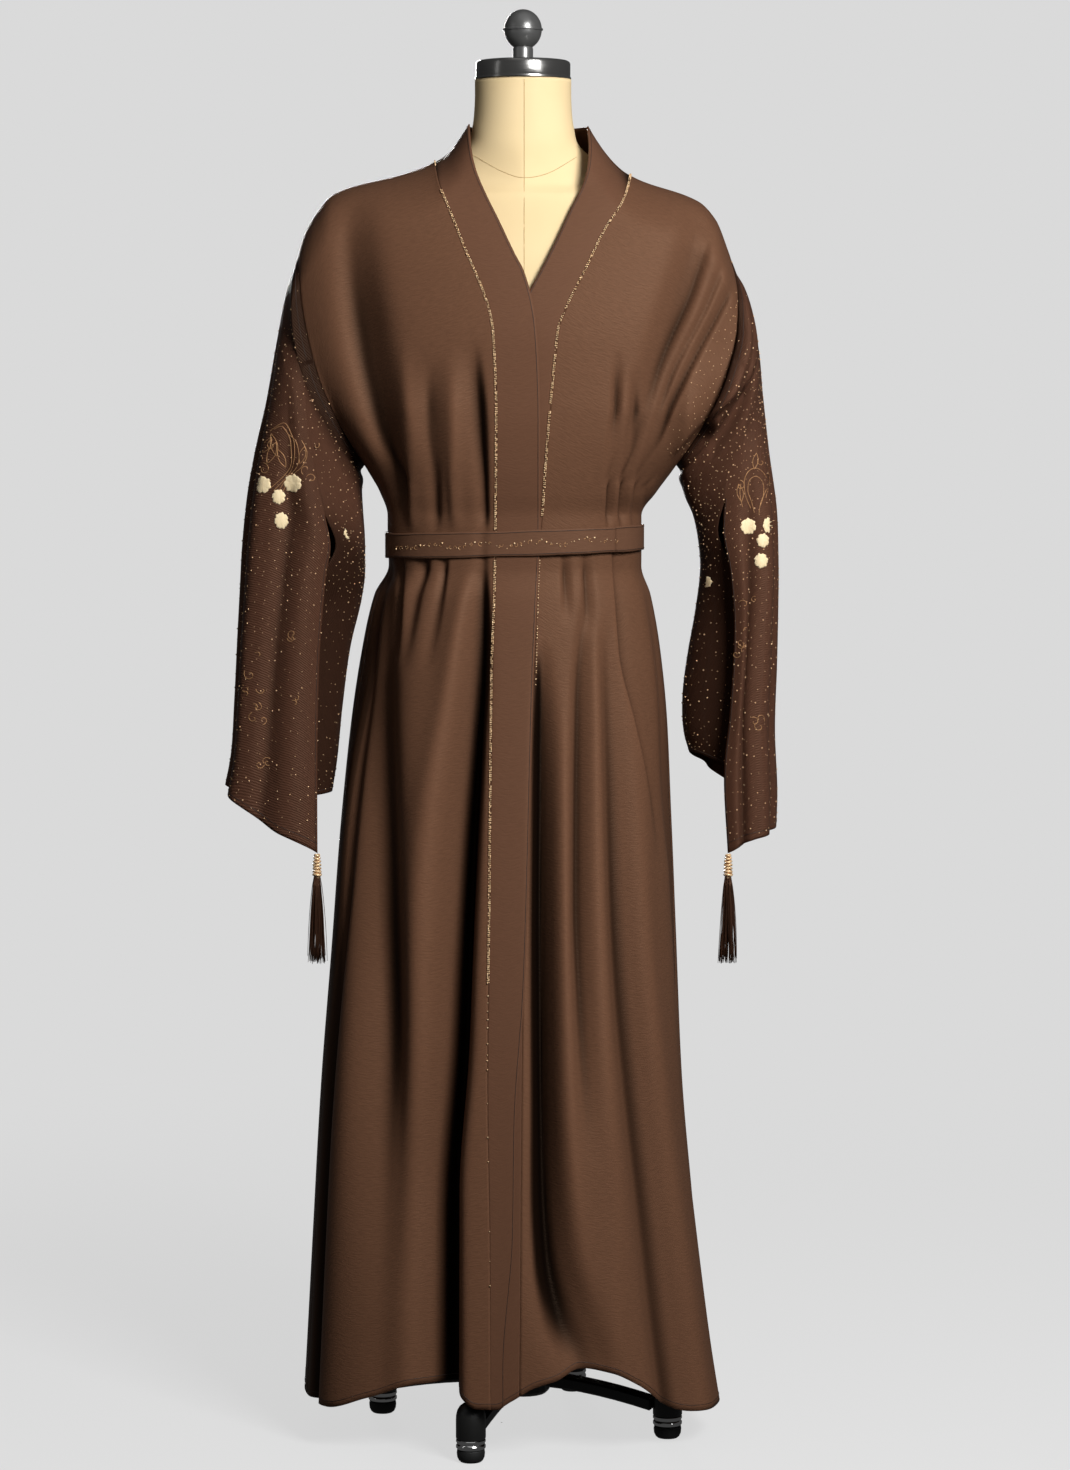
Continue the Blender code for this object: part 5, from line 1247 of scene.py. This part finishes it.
# %% Flowers
def satin_stitch():
    """Smooth floss laid side by side: fine stripes, 0.7 mm wide here and half that on the real one."""
    material, shader = start("pale_gold_satin_stitch", "#f3dcae", 0.5, Specular_IOR_Level=0.5,
                             Sheen_Weight=0.2)
    place = add(material, "ShaderNodeTexCoord").outputs["Object"]
    wave = add(material, "ShaderNodeTexWave", Vector=place, Scale=240.0, Distortion=3.0, Detail=2.0)
    tone = two_tones(material, wave.outputs[0], "#dcbf8a", "#fbe9c2")
    bump = add(material, "ShaderNodeBump", Strength=0.5, Distance=0.0004, Height=wave.outputs[0])
    join(material, tone, shader.inputs["Base Color"])
    join(material, bump.outputs[0], shader.inputs["Normal"])
    return material


stitch = satin_stitch()
# Side, which layer, X and height, half width, half height
FLOWERS = (
    (-1, "front", -288.3, 1068.8, 9.4, 9.0), (-1, "front", -254.2, 1070.5, 9.6, 9.6),
    (-1, "front", -270.1, 1055.6, 7.2, 8.0), (-1, "front", -267.3, 1029.2, 7.4, 8.8),
    (-1, "behind", -192.0, 1015.4, 6.6, 7.0), (1, "front", 249.4, 1022.8, 8.4, 8.6),
    (1, "front", 271.5, 1024.0, 5.6, 8.4), (1, "front", 265.7, 1007.2, 6.8, 7.6),
    (1, "front", 263.6, 984.9, 7.6, 8.0), (1, "behind", 205.0, 959.8, 5.4, 6.2),
)


def flower(surface, x, z, half, tall, rng):
    """Polar grid: the edge wobbles by a tenth, and its height over the cloth falls from the middle out."""
    a = np.radians(np.arange(0, 360, 6))[None, :]
    ring = np.array([0.02, 0.35, 0.65, 0.88, 1.0, 1.02])[:, None]
    high = np.array([1.7, 1.6, 1.35, 1.0, 0.5, -0.4])[:, None]
    wobble = 1 + 0.06 * np.sin(7 * a + rng.uniform(0, 6)) + 0.05 * np.sin(12 * a + rng.uniform(0, 6))
    px, pz = x + half * ring * wobble * np.cos(a), z + tall * ring * wobble * np.sin(a)
    lift = (high + 0 * a).ravel()
    grid = lie_on(surface, px.ravel(), pz.ravel(), lift).reshape(*px.shape, 3)
    index = np.arange(px.size).reshape(px.shape)
    index = np.concatenate([index, index[:, :1]], axis=1)
    faces = np.stack([index[:-1, :-1], index[1:, :-1], index[1:, 1:], index[:-1, 1:]], -1).reshape(-1, 4)
    middle = [tuple(int(v) for v in index[0, :-1])]
    return (grid.reshape(-1, 3) + POLE) * MM, [tuple(face) for face in faces] + middle


for side in (-1, 1):
    parts = [flower((front_of if layer == "front" else behind_of)[side], x, z, half, tall, rng)
             for own, layer, x, z, half, tall in FLOWERS if own == side]
    merged("satin_stitch_flowers_" + SIDES[side], parts, stitch)

# %% [markdown]
# ## Belt sprig and topstitching
# A thin sprig of gilt curls and beads runs along the middle of the belt.  Hems, cuffs, the belt's edges and
# the bands' free edges are held by a line of topstitching, a few millimetres in.

# %% Sprig on the belt
belt_front = belt_grid[:, 95:266].reshape(-1, 3)
sprig, sprig_beads = [], []
for x in np.arange(-140, 106, 5.5):
    middle = BELT_LOW + BELT_TILT * x + 13.5 + 2.0 * math.sin(x / 9)
    if rng.random() < 0.62:
        sprig.append(curl(x, middle, rng.uniform(1.8, 3.4), rng.uniform(0.4, 0.9), rng.uniform(0, 6.3), 1))
    sprig_beads.append((x + rng.uniform(-2, 2), middle + rng.uniform(-3, 3)))
sprig_beads = np.array(sprig_beads)
merged("belt_sprig", [tube(lie_on(belt_front, line[:, 0], line[:, 1], 0.2), 0.34, 4) for line in sprig],
       gold_thread)
beads("belt_beads", lie_on(belt_front, sprig_beads[:, 0], sprig_beads[:, 1], 0.4),
      rng.choice([0.55, 0.75, 1.2], len(sprig_beads), p=[0.5, 0.35, 0.15]), gold_bead)

# %% Topstitching
dark_thread, _ = start("dark_brown_sewing_thread", "#2a1a12", 0.6)
# Rows of the grids that the stitching follows, the thread's radius and how far it lies out of the cloth
HEM_STITCH, CUFF_STITCH, HEAD_STITCH = -2, -3, 3
THREAD, PROUD = 0.33, 0.1
seams = []
for side in (-1, 1):
    name = SIDES[side]
    front, band_grid, sleeve_grid = fronts[side], bands[side], sleeves[side]
    paths = [front[HEM_STITCH] + outward["front", side][HEM_STITCH] * PROUD,
             band_grid[HEM_STITCH] + outward["band", side][HEM_STITCH] * PROUD,
             band_grid[:, -2] + outward["band", side][:, -2] * PROUD]
    seams += [tube(path, THREAD, 4) for path in paths]
    out = outward["sleeve", side] * PROUD
    cuff = sleeve_grid[CUFF_STITCH] + out[CUFF_STITCH]
    flap = sleeve_grid[SLIT_ROW[side]:, 1] + out[SLIT_ROW[side]:, 1]
    head = sleeve_grid[HEAD_STITCH, :-1] + out[HEAD_STITCH, :-1]
    merged("sleeve_topstitching_" + name, [tube(path, THREAD, 4) for path in (cuff, flap, head)], dark_thread)
for row in (1, -2):
    away = belt_grid[row] * np.array([1, 1, 0])
    away = away / np.linalg.norm(away, axis=1, keepdims=True)
    path = belt_grid[row] + away * 0.15
    seams.append(tube(np.concatenate([path, path[:1]]), THREAD, 4))
back_hem = back[HEM_STITCH] - normals_of(back)[HEM_STITCH] * PROUD
seams.append(tube(back_hem, THREAD, 4))
merged("hem_and_belt_topstitching", seams, dark_thread)

# %% Seams of the form
FORM_SEAM_X = 1.5
NECK_SEAM = ((-64, 1436), (-53.6, 1430.3), (-23.5, 1412.5), (1, 1405), (29, 1410.8), (59, 1429.2))
form_front = form_grid[:, (np.arange(120) < 28) | (np.arange(120) > 92)].reshape(-1, 3)
down_middle = np.stack([np.full(60, FORM_SEAM_X), np.linspace(1513, 1262, 60)], -1)
round_neck = bend_through(NECK_SEAM, 14)
form_seam, _ = start("seam_in_jersey", "#b79c70", 0.9)
merged("form_seams", [tube(lie_on(form_front, line[:, 0], line[:, 1], 0.12), 0.4, 4)
                      for line in (down_middle, round_neck)], form_seam)

# %% [markdown]
# ## Tassels
# Each cuff's point carries a tassel: gold rings bind the head, and dark silk strands hang from it.

# %% Tassels
silk, _ = start("dark_brown_silk", "#3f291e", 0.4, Specular_IOR_Level=0.45, Specular_Tint=linear("#c49a7c"))
STRANDS, STRAND_LENGTH, STRAND_TOP, STRAND_RADIUS = 130, 95, 25, 0.42
BUNDLE = (3.4, 11.0)
# Gold rings round the head: how far below the tip, and radius; and the core inside them
HEAD_RINGS = ((1.5, 2.2), (5, 2.7), (8.6, 3.3), (12.2, 3.6), (15.8, 3.5), (19.4, 3.7), (23, 4.0))
HEAD_CORE = ((0, 1.2), (13, 2.6), (27, 3.6))
GOLD_WIRE = 1.5

for side in (-1, 1):
    name = SIDES[side]
    tip = np.array(CUFF_TIP[side]) + np.array([0, 0, -0.6])
    strands = []
    for k in range(STRANDS):
        a = rng.uniform(0, 2 * math.pi)
        r = math.sqrt(rng.random())
        length = STRAND_LENGTH + rng.uniform(-7, 3)
        t = np.linspace(0, 1, 9)
        spread = BUNDLE[0] + (BUNDLE[1] - BUNDLE[0]) * t ** 0.7
        sway = rng.uniform(-1.6, 1.6, 2)
        x = r * math.cos(a) * spread + sway[0] * np.sin(t * 3.0)
        y = r * math.sin(a) * spread + sway[1] * np.sin(t * 3.0)
        path = np.stack([tip[0] + x, tip[1] + y, tip[2] - STRAND_TOP - t * length], -1)
        strands.append(tube(path, STRAND_RADIUS * (1 - 0.3 * t)))
    tassel = merged("tassel_strands_" + name, strands, silk)
    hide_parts("tassel_" + name)
    rings_of_gold = []
    for k, (below, r) in enumerate(HEAD_RINGS):
        a = np.radians(np.arange(17) * 360 / 16)
        wave = 0.5 * np.sin(a * 2 + k)
        path = np.stack([tip[0] + r * np.cos(a), tip[1] + r * np.sin(a), tip[2] - below + wave], -1)
        rings_of_gold.append(tube(path, GOLD_WIRE, 6))
    core = [tip - np.array([0, 0, below]) for below, _ in HEAD_CORE]
    rings_of_gold.append(tube(core, [r for _, r in HEAD_CORE], 8))
    merged("tassel_head_" + name, rings_of_gold, gold_bead)

# %% [markdown]
# ## Floor and light
# A plain pale floor, and soft light: a broad key from the front and the right, and a pale room all round.

# %% Studio
# The paper is lit from its own back as well, so that it stays even, and it throws no light on the cloak.
ROOM_RADIUS, ROOM_BEND, ROOM_HEIGHT = 9.0, 1.5, 9.0
NEAR_FLOOR, PAPER_ALBEDO, PAPER_GLOW, FAR_PAPER_GLOW = (0.6, 2.4), 0.13, 0.632, 0.701
ROOM_LIGHT = 0.06
CHEST = Vector((0.025, 0, 1.2))
bend = np.radians(np.linspace(0, 90, 25))
wall_radius = ROOM_RADIUS + ROOM_BEND
radius = np.concatenate([[0.001, 1.0, 3.0], ROOM_RADIUS + ROOM_BEND * np.sin(bend), [wall_radius]])
height = np.concatenate([[0, 0, 0], ROOM_BEND * (1 - np.cos(bend)), [ROOM_HEIGHT]])
turn = np.radians(np.arange(96) * 360 / 96)
room = np.stack([radius[:, None] * np.cos(turn), radius[:, None] * np.sin(turn),
                 height[:, None] + 0 * turn], -1)
floor_mesh = grid_mesh("studio_floor_and_wall", room / MM - POLE, wrap=True)
paper, paper_shader = start("pale_seamless_paper", "#808080", 0.95, Specular_IOR_Level=0.0)
place = add(paper, "ShaderNodeTexCoord").outputs["Object"]
flat = add(paper, "ShaderNodeVectorMath", {"operation": "MULTIPLY"}, i0=place, i1=(1, 1, 0)).outputs[0]
far = add(paper, "ShaderNodeVectorMath", {"operation": "LENGTH"}, i0=flat).outputs["Value"]
share = ranged(paper, far, (0.0, 1.0), NEAR_FLOOR, {"interpolation_type": "SMOOTHSTEP"})
for socket, near_value, far_value in (("Base Color", PAPER_ALBEDO, 0.0),
                                      ("Emission Strength", PAPER_GLOW, FAR_PAPER_GLOW)):
    join(paper, ranged(paper, share, (near_value, far_value)), paper_shader.inputs[socket])
paper_shader.inputs["Emission Color"].default_value = (1, 1, 1, 1)
floor_mesh.materials.append(paper)
floor_mesh.shade_smooth()
floor = bpy.data.objects.new("studio_floor_and_wall", floor_mesh)
floor.visible_diffuse = False
floor.visible_glossy = False
floor.visible_shadow = False
bpy.context.scene.collection.objects.link(floor)

world = bpy.data.worlds.new("pale_room")
world.use_nodes = True
world.node_tree.nodes["Background"].inputs["Color"].default_value = linear("#ffffff")
world.node_tree.nodes["Background"].inputs["Strength"].default_value = ROOM_LIGHT
bpy.context.scene.world = world


def sun(name, direction, strength, spread, colour="#ffffff"):
    """A far light with soft edges: spread is its width in degrees."""
    data = bpy.data.lights.new(name, "SUN")
    data.energy = strength
    data.angle = math.radians(spread)
    data.color = linear(colour)[:3]
    light = bpy.data.objects.new(name, data)
    light.rotation_euler = Vector(direction).to_track_quat("-Z", "Y").to_euler()
    bpy.context.scene.collection.objects.link(light)


def softbox(name, place, size, power):
    """A rectangular light that faces the cloak's chest; it also shows as a bright band in the metal."""
    data = bpy.data.lights.new(name, "AREA")
    data.shape = "RECTANGLE"
    data.size, data.size_y = size
    data.energy = power
    light = bpy.data.objects.new(name, data)
    light.location = place
    light.rotation_euler = (CHEST - Vector(place)).to_track_quat("-Z", "Y").to_euler()
    bpy.context.scene.collection.objects.link(light)


softbox("key_light", (1.25, -2.3, 2.35), (0.9, 1.0), 106)
sun("top_light", (-0.1, 0.3, -1.0), 0.25, 60)
sun("light_from_behind", (0.12, -1.0, -0.12), 1.5, 12)
softbox("softbox_front_right", (2.1, -2.6, 2.2), (0.5, 2.2), 14)
softbox("strip_left", (-2.6, -1.2, 1.9), (0.25, 2.0), 2)
